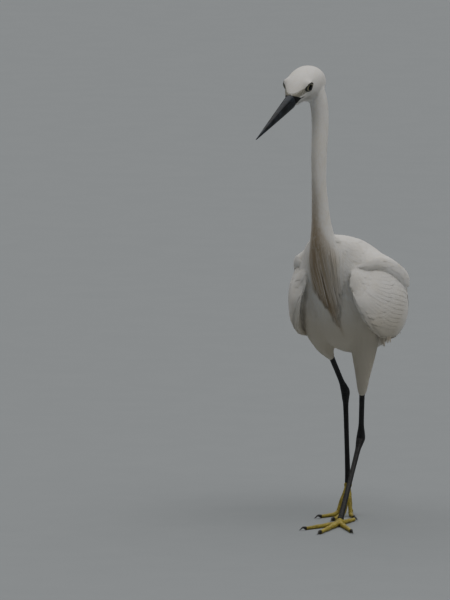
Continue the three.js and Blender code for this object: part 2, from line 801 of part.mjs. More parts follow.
for (const [name, side] of [['left', 1], ['right', -1]]) {
  const leg = LEGS[name];
  const rows = legRows(leg);
  const droop = THREE.MathUtils.degToRad(name === 'left' ? 32 : 62);
  const tube = bodyAlong(rows, LEG_SIDES, LEG_STEPS);
  const anklePlace = 0.4;
  const shank = tube.intersect(beyond(rows, anklePlace, -1, GAP)).subtract(thighs[name]);
  addPart(`shank_${name}`, shank, MATERIALS.leg);
  addPart(`tarsus_${name}`, tube.intersect(beyond(rows, anklePlace, 1)), MATERIALS.leg);
  const hub = new THREE.SphereGeometry(TOE_RADIUS * 1.35, 8, 6);
  hub.translate(...leg.toeJoint);
  let foot = solidOf(hub);
  for (const [toeName, turn, length, share] of TOES) {
    const toeRows = toe(leg.toeJoint, side * turn, length, droop, TOE_RADIUS * share);
    foot = foot.add(bodyAlong(toeRows, TOE_SIDES, TOE_STEPS));
    const toeCleared = bodyAlong(toeRows, TOE_SIDES, TOE_STEPS, GAP);
    const clawSolid = claw(toeRows).intersect(FLOOR).subtract(toeCleared);
    addPart(`claw_${name}_${toeName}`, clawSolid, MATERIALS.claw);
  }
  foot = foot.intersect(FLOOR).subtract(bodyAlong(rows, LEG_SIDES, LEG_STEPS, GAP));
  addPart(`foot_${name}`, foot, MATERIALS.toe);
}

// The origin is the middle of the box round the bird, on the floor.
const box = new THREE.Box3().setFromObject(bird);
const middle = box.getCenter(new THREE.Vector3());
bird.position.set(-middle.x, -middle.y, -box.min.z);

export default bird;
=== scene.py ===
"""A little egret, life size and still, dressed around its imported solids.

The tables below are the stations of the solids, in millimetres, so that skin and feathers lie
where the solids are. The bird faces -Y, its left side is at +X and it stands on z = 0.
"""

import math

import bmesh
import bpy
import numpy as np
from mathutils import Matrix, Vector
from mathutils.bvhtree import BVHTree


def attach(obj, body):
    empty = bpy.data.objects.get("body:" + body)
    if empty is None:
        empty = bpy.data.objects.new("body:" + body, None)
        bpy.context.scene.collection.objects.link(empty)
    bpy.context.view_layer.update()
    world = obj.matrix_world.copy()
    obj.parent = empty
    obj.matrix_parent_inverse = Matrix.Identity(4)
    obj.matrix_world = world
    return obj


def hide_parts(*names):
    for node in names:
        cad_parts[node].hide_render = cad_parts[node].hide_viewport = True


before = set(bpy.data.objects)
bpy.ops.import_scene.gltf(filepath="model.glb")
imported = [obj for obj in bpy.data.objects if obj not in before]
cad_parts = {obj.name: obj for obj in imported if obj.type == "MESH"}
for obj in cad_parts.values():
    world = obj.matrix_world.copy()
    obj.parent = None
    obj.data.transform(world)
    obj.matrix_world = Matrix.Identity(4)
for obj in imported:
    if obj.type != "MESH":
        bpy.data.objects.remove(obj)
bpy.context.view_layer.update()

MM = 0.001
# How far the solids were moved to put their origin at the middle of their box.
SHIFT = np.array([-2.75, 39.41, 0.0])
# The upper half of each section is fuller than an ellipse by this power of the sine.
FULLNESS = 0.85
TAU = 2 * math.pi
# The bird's sides, and on which side of x = 0 they are.
SIDES = (("left", 1), ("right", -1))

# Stations of the solids: [x, y, z, half width, half height above, half height below].
TORSO = [
    [0, -91, 290, 8, 8, 8],
    [0, -84, 287, 16, 13, 15],
    [0.5, -73, 280, 26, 19, 26],
    [1, -55, 267, 36, 31, 38],
    [2, -31, 250, 43, 43, 51],
    [2, -3, 231, 45, 52, 59],
    [2, 28, 214, 43, 48, 52],
    [1, 60, 201, 33, 34, 36],
    [0, 90, 191, 20, 19, 22],
    [0, 112, 185, 11, 9, 12],
    [0, 119, 183, 6, 4, 6],
]
NECK = [
    [-4, -101, 447, 8, 9, 9],
    [-2, -99.5, 436, 9, 11, 11],
    [-0.5, -97, 420, 8.9, 11, 11.5],
    [0, -98, 403, 8.5, 11, 11],
    [0, -101, 380, 8.1, 10.6, 10.8],
    [0, -101.5, 352, 7.5, 10.4, 10.6],
    [0, -98.5, 332, 8.3, 11, 11.2],
    [0, -94.5, 312, 9.6, 12, 12.6],
    [0, -89.5, 293, 12.6, 14, 15],
    [0, -82, 278, 17, 16, 18],
    [0, -73, 266, 20, 18, 18],
]
HEAD = [
    [0, -21, -6, 4.6, 4.5, 5],
    [0, -17, -5.6, 6.8, 6.9, 7.4],
    [0, -8, -4, 10.6, 10.4, 10],
    [0, 2, -2.8, 13.6, 12.8, 13.4],
    [0, 13, -3.5, 15.3, 13.8, 18],
    [0, 25, -7, 15, 14.2, 20.5],
    [0, 35, -13.5, 12.8, 12.4, 17],
    [0, 41.5, -22, 10, 9.5, 11],
]
THIGHS = {
    "left": [
        [28, -38, 230, 14, 15, 15],
        [26, -30, 214, 18, 20, 20],
        [23, -21, 193, 16, 19, 19],
        [19.2, -13, 169, 12.2, 13.4, 13.4],
        [15.8, -5.2, 148, 8.2, 9, 9],
        [13.1, 1, 131, 5.4, 5.6, 5.6],
        [12.2, 3.3, 127, 4, 4, 4],
    ],
    "right": [
        [-26, -48, 238, 12, 13, 13],
        [-25.5, -38, 222, 17, 18, 18],
        [-24.5, -25, 200, 16.5, 18, 18],
        [-23, -14, 181, 10.4, 13, 13],
        [-20.5, -4.5, 168.5, 5.8, 7, 7],
        [-18.6, 1.2, 162.4, 3.8, 4, 4],
    ],
}
TAIL = [
    [0, 102, 187.5, 5, 2.6, 4],
    [0, 110, 186, 8, 2.6, 4],
    [0, 120, 183, 8, 1.6, 3.4],
    [0, 130, 180, 6.5, 0.8, 2.6],
    [0, 136, 178.5, 4, 0.5, 1.5],
]
# The scapular mass of the left side, which lies over the top of the folded wing.
SHOULDER = [
    [25, -70, 264, 4, 5, 5],
    [33, -46, 265, 11, 13, 12],
    [38.5, -14, 254, 16, 16, 16],
    [38.5, 16, 240, 15, 15, 15],
    [32.5, 46, 223, 12, 12, 12],
    [24, 76, 206, 8, 8, 8],
    [15, 104, 192, 4, 4, 4],
]
# Wing stations are for the bird's left side: [x, y, z, half thickness, half height, wrap].
WING = [
    [23, -81, 250, 1.5, 6, 0.5],
    [29, -75, 248.5, 4, 16, 3],
    [38, -60, 239.5, 5.5, 30, 7],
    [46, -38, 231, 5.8, 39, 11],
    [48.5, -8, 225.5, 5.2, 40, 14],
    [44.5, 24, 217.5, 4.4, 35, 13],
    [36, 56, 207, 3.4, 26, 10],
    [25, 86, 197, 2.6, 17, 6],
    [15.5, 112, 189, 1.8, 9, 3],
    [9.5, 131, 183, 1.1, 4, 1],
]
# Both wings lie this far to the bird's left. Below, they wrap by this share of the wrap above.
WING_SHIFT = 2.75
LOWER_WRAP = 0.45

HEAD_PLACE = np.array([-13.0, -131.0, 449.0])
HEAD_TURNS = [math.radians(v) for v in (24.9, 4, -7.8)]
LEGS = {
    "left": ([12.2, 3.4, 126.5], [5.4, 21.6, 81], [3, -41, 3.4]),
    "right": ([-18.6, 1.3, 162], [-14, 31, 126], [-13, 37, 30]),
}
CULMEN = 85
BILL_BASE_DEPTH = 15
BILL_BASE_WIDTH = 11.5
BILL_BASE = 19
MOUTH_AT_BASE = -6.4
EYE_RADIUS = 6.2
EYE_PLACE = (9.1, 1.5, 0.6)
EYE_TURN = 0.28
BARE_TIBIA_RADIUS = 2.75
TARSUS_RADIUS = 2.7
ANKLE_RADIUS = 4.4
TOE_RADIUS = 2.9
CLAW_LENGTH = 9
TOES = [
    ("middle", 0, 64, 1),
    ("outer", 0.52, 53, 0.92),
    ("inner", -0.5, 47, 0.9),
    ("hind", math.pi - 0.12, 34, 0.95),
]

# The almond of the lids, in the eye's frame: its margin in front, behind and at its height, and the
# opening in it. The dark lids reach far behind the eye and high over it, so that they are partly
# lid skin and partly painted shade round the eye.
LID_FRONT = 6.4
LID_BACK = 8.6
LID_HEIGHT = 4.6
OPEN_LENGTH = 5.2
OPEN_RISE = 3.1
# The ring nearest to a pole of the eyeball, as an angle.
POLE = 0.02
BROW_RADIUS = 6.5
BROW_RISE = 0.5

rng = np.random.default_rng(7)


# Geometry helpers

def blend_rows(rows, t):
    """Smooth values between equally spaced rows of numbers, for an array of t from 0 to 1."""
    rows = np.asarray(rows, float)
    last = len(rows) - 1
    place = np.clip(np.atleast_1d(t), 0, 1) * last
    index = np.minimum(place.astype(int), last - 1)
    f = (place - index)[:, None]
    p, q = rows[np.maximum(index - 1, 0)], rows[index]
    r, s = rows[index + 1], rows[np.minimum(index + 2, last)]
    slope_in, slope_out = (r - p) / 2, (s - q) / 2
    bend = 2 * q - 2 * r + slope_in + slope_out
    rise = -3 * q + 3 * r - 2 * slope_in - slope_out
    return ((bend * f + rise) * f + slope_in) * f + q


def unit(v):
    return v / np.maximum(np.linalg.norm(v, axis=-1, keepdims=True), 1e-12)


def frame_at(rows, t):
    """Place, forward, side, up and sizes of a line of stations."""
    t = np.atleast_1d(t)
    here = blend_rows(rows, t)
    along = unit(blend_rows(rows, np.minimum(t + 0.01, 1))[:, :3]
                 - blend_rows(rows, np.maximum(t - 0.01, 0))[:, :3])
    side = np.array([1.0, 0, 0]) - along[:, :1] * along
    side = unit(side)
    up = np.cross(side, along)
    return here[:, :3], along, side, up, here[:, 3:]


def skin_point(rows, t, angle, grow=0.0):
    """Points on the skin round a line of stations. Angle 0 is the side, a quarter turn is up."""
    place, _, side, up, sizes = frame_at(rows, t)
    rise = np.sin(angle)
    above = (sizes[:, 1] + grow) * np.abs(rise) ** FULLNESS
    below = (sizes[:, 2] + grow) * rise
    height = np.where(rise > 0, above, below)
    return place + side * ((sizes[:, 0] + grow) * np.cos(angle))[:, None] + up * height[:, None]


def wing_point(side, u, angle, out=0.0):
    """Points on the outside of a wing. Angle 0 is the middle of its outer face."""
    place, _, _, up, sizes = frame_at(WING, u)
    rise = np.sin(angle)
    bow = np.where(rise > 0, sizes[:, 2], sizes[:, 2] * LOWER_WRAP)
    point = place + up * (sizes[:, 1] * rise)[:, None]
    point[:, 0] += (sizes[:, 0] + out) * np.cos(angle) - bow * rise * rise
    point[:, 0] = point[:, 0] * side + WING_SHIFT
    return point


def turned(axis, angle):
    c, s = math.cos(angle), math.sin(angle)
    i, j = [(1, 2), (2, 0), (0, 1)][axis]
    m = np.eye(3)
    m[i, i] = m[j, j] = c
    m[i, j], m[j, i] = -s, s
    return m


HEAD_MATRIX = turned(2, HEAD_TURNS[2]) @ turned(0, HEAD_TURNS[0]) @ turned(1, HEAD_TURNS[1])


def on_head(points):
    """From the head's own frame to the bird's."""
    return np.asarray(points, float) @ HEAD_MATRIX.T + HEAD_PLACE


def head_local(points):
    return (points - HEAD_PLACE) @ HEAD_MATRIX


def smoothstep(v, low, high):
    f = np.clip((v - low) / (high - low), 0, 1)
    return f * f * (3 - 2 * f)


def to_scene(points):
    """From millimetres in the bird's frame to the scene's metres."""
    return (np.asarray(points, float) + SHIFT) * MM


def linked(name, data):
    obj = bpy.data.objects.new(name, data)
    bpy.context.scene.collection.objects.link(obj)
    return obj


def make_object(name, points, faces, material=None, smooth=True):
    """An object from points in millimetres in the bird's frame."""
    mesh = bpy.data.meshes.new(name)
    mesh.from_pydata(to_scene(points).tolist(), [], [list(f) for f in faces])
    mesh.validate()
    if material:
        mesh.materials.append(material)
    if smooth:
        mesh.shade_smooth()
    return linked(name, mesh)


def make_solid(name, points, faces, material=None, sharp=None):
    """A smooth object whose faces look outwards, with edges sharp from this many degrees on."""
    obj = make_object(name, points, faces, material)
    bm = bmesh.new()
    bm.from_mesh(obj.data)
    bmesh.ops.recalc_face_normals(bm, faces=bm.faces)
    bm.to_mesh(obj.data)
    bm.free()
    if sharp:
        finish_normals(obj, sharp)
    return obj


def ring_faces(rings, count, start=0):
    """Quads and end caps for rings of equal count, all in one list of points."""
    faces = []
    for i in range(rings - 1):
        for j in range(count):
            a = start + i * count + j
            b = start + i * count + (j + 1) % count
            faces.append((a, b, b + count, a + count))
    faces.append(tuple(start + j for j in reversed(range(count))))
    faces.append(tuple(start + (rings - 1) * count + j for j in range(count)))
    return faces


def round_grid(steps, sides, start=0.0, end=1.0):
    """Values from start to end, each with angles right round, for rings of points."""
    return (np.repeat(np.linspace(start, end, steps), sides),
            np.tile(np.arange(sides) * TAU / sides, steps))


def rings_along(rows, sides, steps, grow=0.0):
    return skin_point(rows, *round_grid(steps, sides), grow)


def finish_normals(obj, sharp):
    obj.data.shade_smooth()
    obj.data.set_sharp_from_angle(angle=math.radians(sharp))


# Materials

class Value:
    """A node's output as a number to reckon with. Every operation adds one maths node."""

    def __init__(self, nodes, socket):
        self.nodes, self.socket = nodes, socket

    def __add__(self, other):
        return self.nodes.math("ADD", self, other)

    def __mul__(self, other):
        return self.nodes.math("MULTIPLY", self, other)

    def __sub__(self, other):
        return self.nodes.math("SUBTRACT", self, other)

    def __rsub__(self, other):
        return self.nodes.math("SUBTRACT", other, self)

    def __abs__(self):
        return self.nodes.math("ABSOLUTE", self)

    __radd__, __rmul__ = __add__, __mul__


class Nodes:
    """Short names for building a node material."""

    def __init__(self, name):
        self.material = bpy.data.materials.new(name)
        self.material.use_nodes = True
        self.tree = self.material.node_tree
        self.shader = self.tree.nodes["Principled BSDF"]

    def add(self, kind, links=(), **values):
        node = self.tree.nodes.new(kind)
        for key, value in values.items():
            setattr(node, key, value)
        for index, source in dict(links).items():
            self.feed(source, node.inputs[index])
        return node

    def feed(self, source, socket):
        """Link an output to an input, or set the input to a plain number or colour."""
        source = source.socket if isinstance(source, Value) else source
        if hasattr(source, "is_output"):
            self.tree.links.new(source, socket)
        else:
            socket.default_value = source

    def math(self, operation, a, b=0.0):
        node = self.add("ShaderNodeMath", {0: a, 1: b}, operation=operation)
        return Value(self, node.outputs[0])

    def step(self, value, start, full):
        """0 before start and 1 past full, smooth between. Start may be the greater one."""
        node = self.add("ShaderNodeMapRange", {0: value, 1: start, 2: full},
                        interpolation_type="SMOOTHSTEP")
        return Value(self, node.outputs[0])

    def mix(self, factor, a, b):
        return self.add("ShaderNodeMix", {0: factor, 6: a, 7: b}, data_type="RGBA").outputs[2]

    def vector(self, operation, a, b):
        return self.add("ShaderNodeVectorMath", {0: a, 1: b}, operation=operation).outputs[0]

    def place(self):
        """Object coordinates in millimetres, in the bird's own frame."""
        coordinate = self.add("ShaderNodeTexCoord").outputs["Object"]
        return self.vector("SUBTRACT", self.vector("MULTIPLY", coordinate, [1 / MM] * 3),
                           tuple(SHIFT))

    def parts(self, vector):
        node = self.add("ShaderNodeSeparateXYZ", {0: vector})
        return [Value(self, part) for part in node.outputs]

    def noise(self, vector, scale, detail=3.0, roughness=0.5):
        node = self.add("ShaderNodeTexNoise", {"Vector": vector, "Scale": scale,
                                               "Detail": detail, "Roughness": roughness})
        return Value(self, node.outputs[0])

    def finish(self, colour, height, strength, distance, **values):
        """The finished material: its colour, a bump up to distance millimetres, other values."""
        self.feed(colour, self.shader.inputs["Base Color"])
        bump = self.add("ShaderNodeBump", {"Height": height, "Strength": strength,
                                           "Distance": distance * MM})
        self.feed(bump.outputs[0], self.shader.inputs["Normal"])
        for key, value in values.items():
            self.shader.inputs[key.replace("_", " ")].default_value = value
        return self.material


WHITE = (0.80, 0.785, 0.76, 1)
CREAM = (0.74, 0.69, 0.59, 1)
# A real brown stain, laid on more thickly on the shaded side as painted shade.
STAIN_AND_SHADE = (0.38, 0.295, 0.195, 1)
# Painted shade: the belly and lower breast, where shade falls, are darker and warmer.
BELLY_PAINTED_SHADE = (0.61, 0.555, 0.46, 1)
LORE = (0.27, 0.26, 0.215, 1)
GAPE_DARK = (0.014, 0.014, 0.015, 1)

# Pairs in millimetres: where a marking, or the painted shade of the belly, starts and where it is
# full.
BELLY_SHADE_TOP = (240, 188)
BELLY_SHADE_REAR = (60, -20)
STAIN_TOP = (385, 290)
STAIN_FRONT = (4, -4)
STAIN_EDGE = (-1.5, 5)
# The middle line of the neck: from NECK_TURN down it leans back, from NECK_LINE at the top.
NECK_TURN, NECK_LEAN, NECK_LINE = 332, 0.39, -101
# The bib's middle runs to the bird's left from BIB_TURN down, by BIB_LEAN for each millimetre.
BIB_TURN, BIB_LEAN, BIB_MIDDLE = 240, 0.16, 0.6
# How far the stain reaches to either side at the bib's tip, and how much farther above it.
BIB_REACH = 2.5
BIB_WIDER, BIB_WIDE = 14.0, (203, 245)
# Up the neck the stain turns to the bird's right, the shaded side, where it is partly a stain and
# partly painted shade, and gets narrower.
SHADED_SIDE_BY, SHADED_SIDE_HEIGHTS = 3.6, (278, 318)
NARROWER_BY, NARROWER = 9.0, (268, 312)
# To the bird's left, the lit side, it is paler, which is painted light and shade, and up the neck
# single feathers differ less in tone.
LIT_SIDE_PALER_BY, LIT_SIDE_PALER = 0.45, (-2, 9)
EVEN = (258, 292)
SKIN_TONE = 0.4

# The bare face, in the head's frame: the lores run level from the eye to the bill, and the
# dark corner of the mouth ends at GAPE_TIP (forward, up) with these slopes over and below it.
LORE_SLOPE = 0.06
LORE_AT_EYE = 0.2
LORE_HALF = 2.4
LORE_FRONT = (-24, -20)
LORE_BACK = (1, -4)
GAPE_TIP = (-11.2, -5.3)
GAPE_OVER = 0.85
GAPE_BELOW = 0.6
GAPE_BLUR = 0.5


def stain_and_painted_shade(nodes, place, tone):
    """How strongly the front of the neck and the bib are stained: a real stain, stronger on the
    bird's right, the shaded side, as painted shade.
    """
    step = nodes.step
    x, y, z = nodes.parts(place)
    line = nodes.math("MAXIMUM", NECK_TURN - z, 0.0) * NECK_LEAN + NECK_LINE
    front = step(y - line, *STAIN_FRONT) * step(z, *STAIN_TOP)
    below = nodes.math("MAXIMUM", BIB_TURN - z, 0.0)
    # Partly painted shade: up the neck the stain moves onto the bird's shaded right.
    aside = x - (below * BIB_LEAN + BIB_MIDDLE) + SHADED_SIDE_BY * step(z, *SHADED_SIDE_HEIGHTS)
    reach = BIB_REACH + BIB_WIDER * step(z, *BIB_WIDE) - NARROWER_BY * step(z, *NARROWER)
    inside = step(reach - abs(aside), *STAIN_EDGE)
    # Painted shade: the stain is weaker towards the lit side.
    lit_side_pale = 1.0 - LIT_SIDE_PALER_BY * step(aside, *LIT_SIDE_PALER)
    high = step(z, *EVEN)
    streaks = nodes.noise(nodes.vector("MULTIPLY", place, (0.8, 0.4, 0.04)), 1.0, 4.0, 0.6)
    strand = tone * (0.65 - 0.5 * high) + 0.5 * streaks + 0.17 * high
    return front * inside * lit_side_pale * step(strand, -0.1, 0.6)


def with_bare_face(nodes, place, colour):
    """The ragged lores and, below them, dark horn back to a point at the corner of the mouth."""
    step = nodes.step
    turn = Matrix(HEAD_MATRIX.tolist()).to_euler("XYZ")
    head = nodes.add("ShaderNodeMapping", {0: place, "Location": tuple(HEAD_PLACE),
                                           "Rotation": tuple(turn)}, vector_type="TEXTURE")
    _, y, z = nodes.parts(head.outputs[0])
    mottle = nodes.noise(place, 0.55, 4.0)
    off = abs(z - (y * LORE_SLOPE + LORE_AT_EYE)) + 2.4 * mottle
    lore = step(off, LORE_HALF + 1.9, LORE_HALF + 0.6) * step(mottle, 0.1, 0.55)
    lore = lore * step(y, *LORE_FRONT) * step(y, *LORE_BACK)
    behind, rise = y - GAPE_TIP[0], z - GAPE_TIP[1]
    wedge = (step(rise + GAPE_OVER * behind, GAPE_BLUR, -GAPE_BLUR)
             * step(rise - GAPE_BELOW * behind, -GAPE_BLUR, GAPE_BLUR) * step(behind, 0.4, -0.6))
    mouth = step(behind, 6, 1) * step(abs(rise + 0.1 * behind), 0.9, 0.2)
    colour = nodes.mix(wedge, nodes.mix(lore, colour, LORE), GAPE_DARK)
    return nodes.mix(0.8 * mouth, colour, GAPE_DARK)


BARBS_PER_CM = 17
BARB_SLANT = 0.9
SHAFT_HALF = 0.035


def plumage_material(name, barbs):
    """Plumage marked by place, with painted shade on the belly and on the shaded side of the neck
    and bib. With barbs it is for blades, which carry a tone and a vane map.
    """
    nodes = Nodes(name)
    place = nodes.place()
    tone = SKIN_TONE
    if barbs:
        tone = Value(nodes, nodes.add("ShaderNodeAttribute", attribute_name="tone").outputs["Fac"])
        # The vane map is in centimetres: across the shaft, and along it from the root.
        vane = nodes.add("ShaderNodeUVMap", uv_map="Vane").outputs[0]
        across, along, _ = nodes.parts(vane)
        across = abs(across)
        lines = nodes.math("SINE", (along - BARB_SLANT * across) * (BARBS_PER_CM * TAU))
        bump = (0.25 * lines + nodes.step(across, SHAFT_HALF, 0.0), 0.35, 0.12)
    else:
        bump = (nodes.noise(place, 0.9, 4.0), 0.5, 0.4)
    _, y, z = nodes.parts(place)
    colour = nodes.mix(0.35 * nodes.step(nodes.noise(place, 0.06), 0.4, 0.75), WHITE, CREAM)
    colour = nodes.mix(0.4 * tone, colour, CREAM)
    # Painted shade: below and in front, where the belly is in shade, the plumage is darker and
    # warmer.
    under = nodes.step(z, *BELLY_SHADE_TOP) * nodes.step(y, *BELLY_SHADE_REAR)
    colour = nodes.mix(under, colour, BELLY_PAINTED_SHADE)
    colour = nodes.mix(0.95 * stain_and_painted_shade(nodes, place, tone), colour, STAIN_AND_SHADE)
    return nodes.finish(with_bare_face(nodes, place, colour), *bump, Roughness=0.8,
                        Sheen_Weight=0.12, Sheen_Roughness=0.5, Specular_IOR_Level=0.2)


def bill_material():
    nodes = Nodes("bill_horn")
    place = nodes.place()
    dark, slate = (0.008, 0.009, 0.011, 1), (0.028, 0.034, 0.045, 1)
    colour = nodes.mix(nodes.step(nodes.noise(place, 0.12, 4.0), 0.35, 0.7), dark, slate)
    return nodes.finish(colour, nodes.noise(place, 0.9, 4.0), 0.2, 0.15,
                        Roughness=0.5, Specular_IOR_Level=0.3)


def scaly_material(name, dark, light, scale, roughness):
    nodes = Nodes(name)
    place = nodes.place()
    cells = nodes.add("ShaderNodeTexVoronoi", {"Vector": place, "Scale": scale},
                      feature="DISTANCE_TO_EDGE").outputs[0]
    plate = nodes.step(cells, 0.0, 0.14)
    shade = plate * nodes.step(nodes.noise(place, 0.16), 0.2, 0.7)
    return nodes.finish(nodes.mix(shade, dark, light), plate, 0.5, 0.25,
                        Roughness=roughness, Specular_IOR_Level=0.4)


def plain_material(name, dark, light, roughness, scale=0.5, coat=0.0, gloss=0.5):
    nodes = Nodes(name)
    grain = nodes.noise(nodes.place(), scale, 4.0)
    return nodes.finish(nodes.mix(nodes.step(grain, 0.3, 0.7), dark, light), grain, 0.15, 0.15,
                        Roughness=roughness, Specular_IOR_Level=gloss, Coat_Weight=coat,
                        Coat_Roughness=0.03)


FEATHER = plumage_material("plumage", True)
SKIN = plumage_material("plumage_ground", False)
BILL = bill_material()
LEG = scaly_material("leg_scales", (0.010, 0.010, 0.011, 1), (0.030, 0.030, 0.032, 1), 0.42, 0.5)
FOOT = scaly_material("foot_scales", (0.20, 0.16, 0.03, 1), (0.46, 0.39, 0.07, 1), 0.5, 0.55)
CLAW = plain_material("claw_horn", (0.012, 0.011, 0.011, 1), (0.03, 0.028, 0.026, 1), 0.35)
IRIS = plain_material("iris", (0.16, 0.15, 0.09, 1), (0.34, 0.31, 0.19, 1), 0.35, 1.6, 0.5)
PUPIL = plain_material("pupil", (0.001, 0.001, 0.001, 1), (0.002, 0.002, 0.002, 1), 0.1, 1,
                       0.1, 0.2)
EYE_DARK = plain_material("eye_rim", (0.012, 0.012, 0.010, 1), (0.03, 0.03, 0.025, 1), 0.4, 1, 0.5)
NOSTRIL = plain_material("nostril", (0.001, 0.001, 0.001, 1), (0.003, 0.003, 0.003, 1), 0.9)
# Dark lid skin, which round the eye also stands for painted shade.
LID = plain_material("lid_skin", (0.020, 0.021, 0.017, 1), (0.06, 0.062, 0.05, 1), 0.6, 0.9)


# Skin: the flesh of the solids, sunk by the depth of the coat, as one closed surface

COAT_DEPTH = {"torso": 1.6, "neck": 0.9, "head": 0.5, "thigh": 1.2, "tail": 0.3}
# The skin's scapulars end a little higher than the solid's, over the top of the wing.
SHOULDER_TRIM = [1, 4, 2.5, 0, 0, 0, 0]
VOXEL = 1.4
WING_SIDES, WING_STEPS = 36, 44


def shoulder_rows(side):
    return [[x * side + WING_SHIFT, y, z, wide, above, below - trim]
            for (x, y, z, wide, above, below), trim in zip(SHOULDER, SHOULDER_TRIM)]


def wing_rings(side):
    return wing_point(side, *round_grid(WING_STEPS, WING_SIDES))


def build_skin():
    """The skin, and a search tree of it from before the eye sockets are pressed in."""
    def tube(rows, depth, sides, steps):
        return rings_along(rows, sides, steps, -COAT_DEPTH[depth]), sides, steps

    shells = [tube(TORSO, "torso", 40, 48), tube(NECK, "neck", 28, 60),
              (on_head(tube(HEAD, "head", 36, 36)[0]), 36, 36)]
    shells += [tube(THIGHS[name], "thigh", 28, 32) for name, _ in SIDES]
    shells += [tube(TAIL, "tail", 20, 20)]
    shells += [tube(shoulder_rows(side), "torso", 28, 40) for _, side in SIDES]
    shells += [(wing_rings(side), WING_SIDES, WING_STEPS) for _, side in SIDES]
    shells += [(ball_rings(side, BROW_RADIUS, 20, 24, BROW_RISE), 24, 20) for _, side in SIDES]
    points, faces = [], []
    for rings, count, steps in shells:
        faces += ring_faces(steps, count, sum(len(p) for p in points))
        points.append(rings)
    obj = make_solid("skin", np.vstack(points), faces, SKIN)
    remesh = obj.modifiers.new("remesh", "REMESH")
    remesh.mode = "VOXEL"
    remesh.voxel_size = VOXEL * MM
    smooth = obj.modifiers.new("smooth", "SMOOTH")
    smooth.factor = 0.5
    smooth.iterations = 8
    apply_modifiers(obj)
    blend_shoulders(obj)
    part_wings(obj)
    whole = BVHTree.FromObject(obj, bpy.context.evaluated_depsgraph_get())
    sink_sockets(obj)
    obj.data.shade_smooth()
    return obj, whole


def relax(obj, weight, rounds):
    """Move each vertex halfway to the middle of its neighbours, by its weight, many times."""
    mesh = obj.data
    edges = np.empty(len(mesh.edges) * 2, np.int32)
    mesh.edges.foreach_get("vertices", edges)
    a, b = edges.reshape(-1, 2).T
    points = points_of(obj)
    count = len(points)
    degree = (np.bincount(a, minlength=count) + np.bincount(b, minlength=count))[:, None]
    used = weight[a] + weight[b] > 0
    a, b = a[used], b[used]
    chosen = weight > 0
    for _ in range(rounds):
        total = np.stack([np.bincount(a, points[b, k], count) + np.bincount(b, points[a, k], count)
                          for k in range(3)], 1)
        step = (total / degree - points) * (0.5 * weight)[:, None]
        points[chosen] += step[chosen]
    set_points(obj, points)


# Shares of the scapular mass's half width: how near the skin is to its middle line, how high
# over its outer edge, and how far out. Its rear is told by y.
SHOULDER_NEAR = (2.4, 1.8)
SHOULDER_HIGH = (0.0, 0.45)
SHOULDER_SLANT = 0.55
SHOULDER_OUT = (0.3, 0.6)
SHOULDER_REAR = (-8, 16)
SHOULDER_ROUNDS = 160


def blend_shoulders(obj):
    """Let each scapular mass run smoothly into the back, with its crease over the wing kept."""
    points = points_of(obj)
    weight = np.zeros(len(points))
    for _, side in SIDES:
        place, _, _, up, sizes = frame_at(shoulder_rows(side), np.linspace(0, 1, 60))
        near = np.zeros(len(points), int)
        best = np.full(len(points), np.inf)
        for k, spot in enumerate(place):
            far = np.linalg.norm(points - spot, axis=1)
            near = np.where(far < best, k, near)
            best = np.minimum(best, far)
        rel = points - place[near]
        size = sizes[near, 0]
        high = np.einsum("nk,nk->n", rel, up[near]) / size
        outwards = side * rel[:, 0] / size
        close = smoothstep(best / size, *SHOULDER_NEAR)
        top = smoothstep(high - SHOULDER_SLANT * outwards, *SHOULDER_HIGH)
        rear = smoothstep(points[:, 1], *SHOULDER_REAR) * smoothstep(outwards, *SHOULDER_OUT)
        weight = np.maximum(weight, close * np.maximum(top, rear))
    relax(obj, weight, SHOULDER_ROUNDS)


# The breast is smoothed where it is BREAST_FREE of the wings, then pressed in along them.
BREAST_FREE = (0.8, 3.5)
BREAST_HALF, BREAST_REAR = (36, 26), (-40, -54)
BREAST_LOW, BREAST_HIGH = (205, 225), (292, 270)
BREAST_ROUNDS = 140
GAP_DEPTH, GAP_FAR = 3.0, 12.0
GAP_NEAR, GAP_END = (0.4, 1.4), (5.5, 1.6)
GAP_TOP, GAP_REAR = (258, 228), (60, 20)


def part_wings(obj):
    """Smooth the root of the neck into the breast, then part body and wings.

    The body is pressed in along the front and lower edges of the wings, which hang free of it.
    """
    tree = BVHTree.FromPolygons(
        [tuple(p) for _, side in SIDES for p in wing_rings(side)],
        [f for k in (0, 1)
         for f in ring_faces(WING_STEPS, WING_SIDES, k * WING_SIDES * WING_STEPS)])
    points = points_of(obj)
    x, y, z = points.T
    chosen = np.flatnonzero((y < 70) & (z > 180) & (z < 295) & (np.abs(x) < 60))
    far = np.full(len(points), GAP_FAR)
    far[chosen] = [tree.find_nearest(Vector(points[i].tolist()), GAP_FAR)[3] or GAP_FAR
                   for i in chosen]
    breast = smoothstep(np.abs(x - 1), *BREAST_HALF) * smoothstep(y, *BREAST_REAR)
    breast = breast * smoothstep(z, *BREAST_LOW) * smoothstep(z, *BREAST_HIGH)
    relax(obj, breast * smoothstep(far, *BREAST_FREE), BREAST_ROUNDS)
    points = points_of(obj)
    normals = np.empty(len(points) * 3)
    obj.data.vertices.foreach_get("normal", normals)
    press = smoothstep(far, *GAP_NEAR) * smoothstep(far, *GAP_END)
    press = press * smoothstep(z, *GAP_TOP) * smoothstep(y, *GAP_REAR)
    points -= normals.reshape(-1, 3) * (GAP_DEPTH * press)[:, None]
    set_points(obj, points)


def apply_modifiers(obj):
    graph = bpy.context.evaluated_depsgraph_get()
    mesh = bpy.data.meshes.new_from_object(obj.evaluated_get(graph))
    old = obj.data
    obj.modifiers.clear()
    obj.data = mesh
    bpy.data.meshes.remove(old)


def points_of(obj):
    count = len(obj.data.vertices)
    flat = np.empty(count * 3)
    obj.data.vertices.foreach_get("co", flat)
    return flat.reshape(-1, 3) / MM - SHIFT


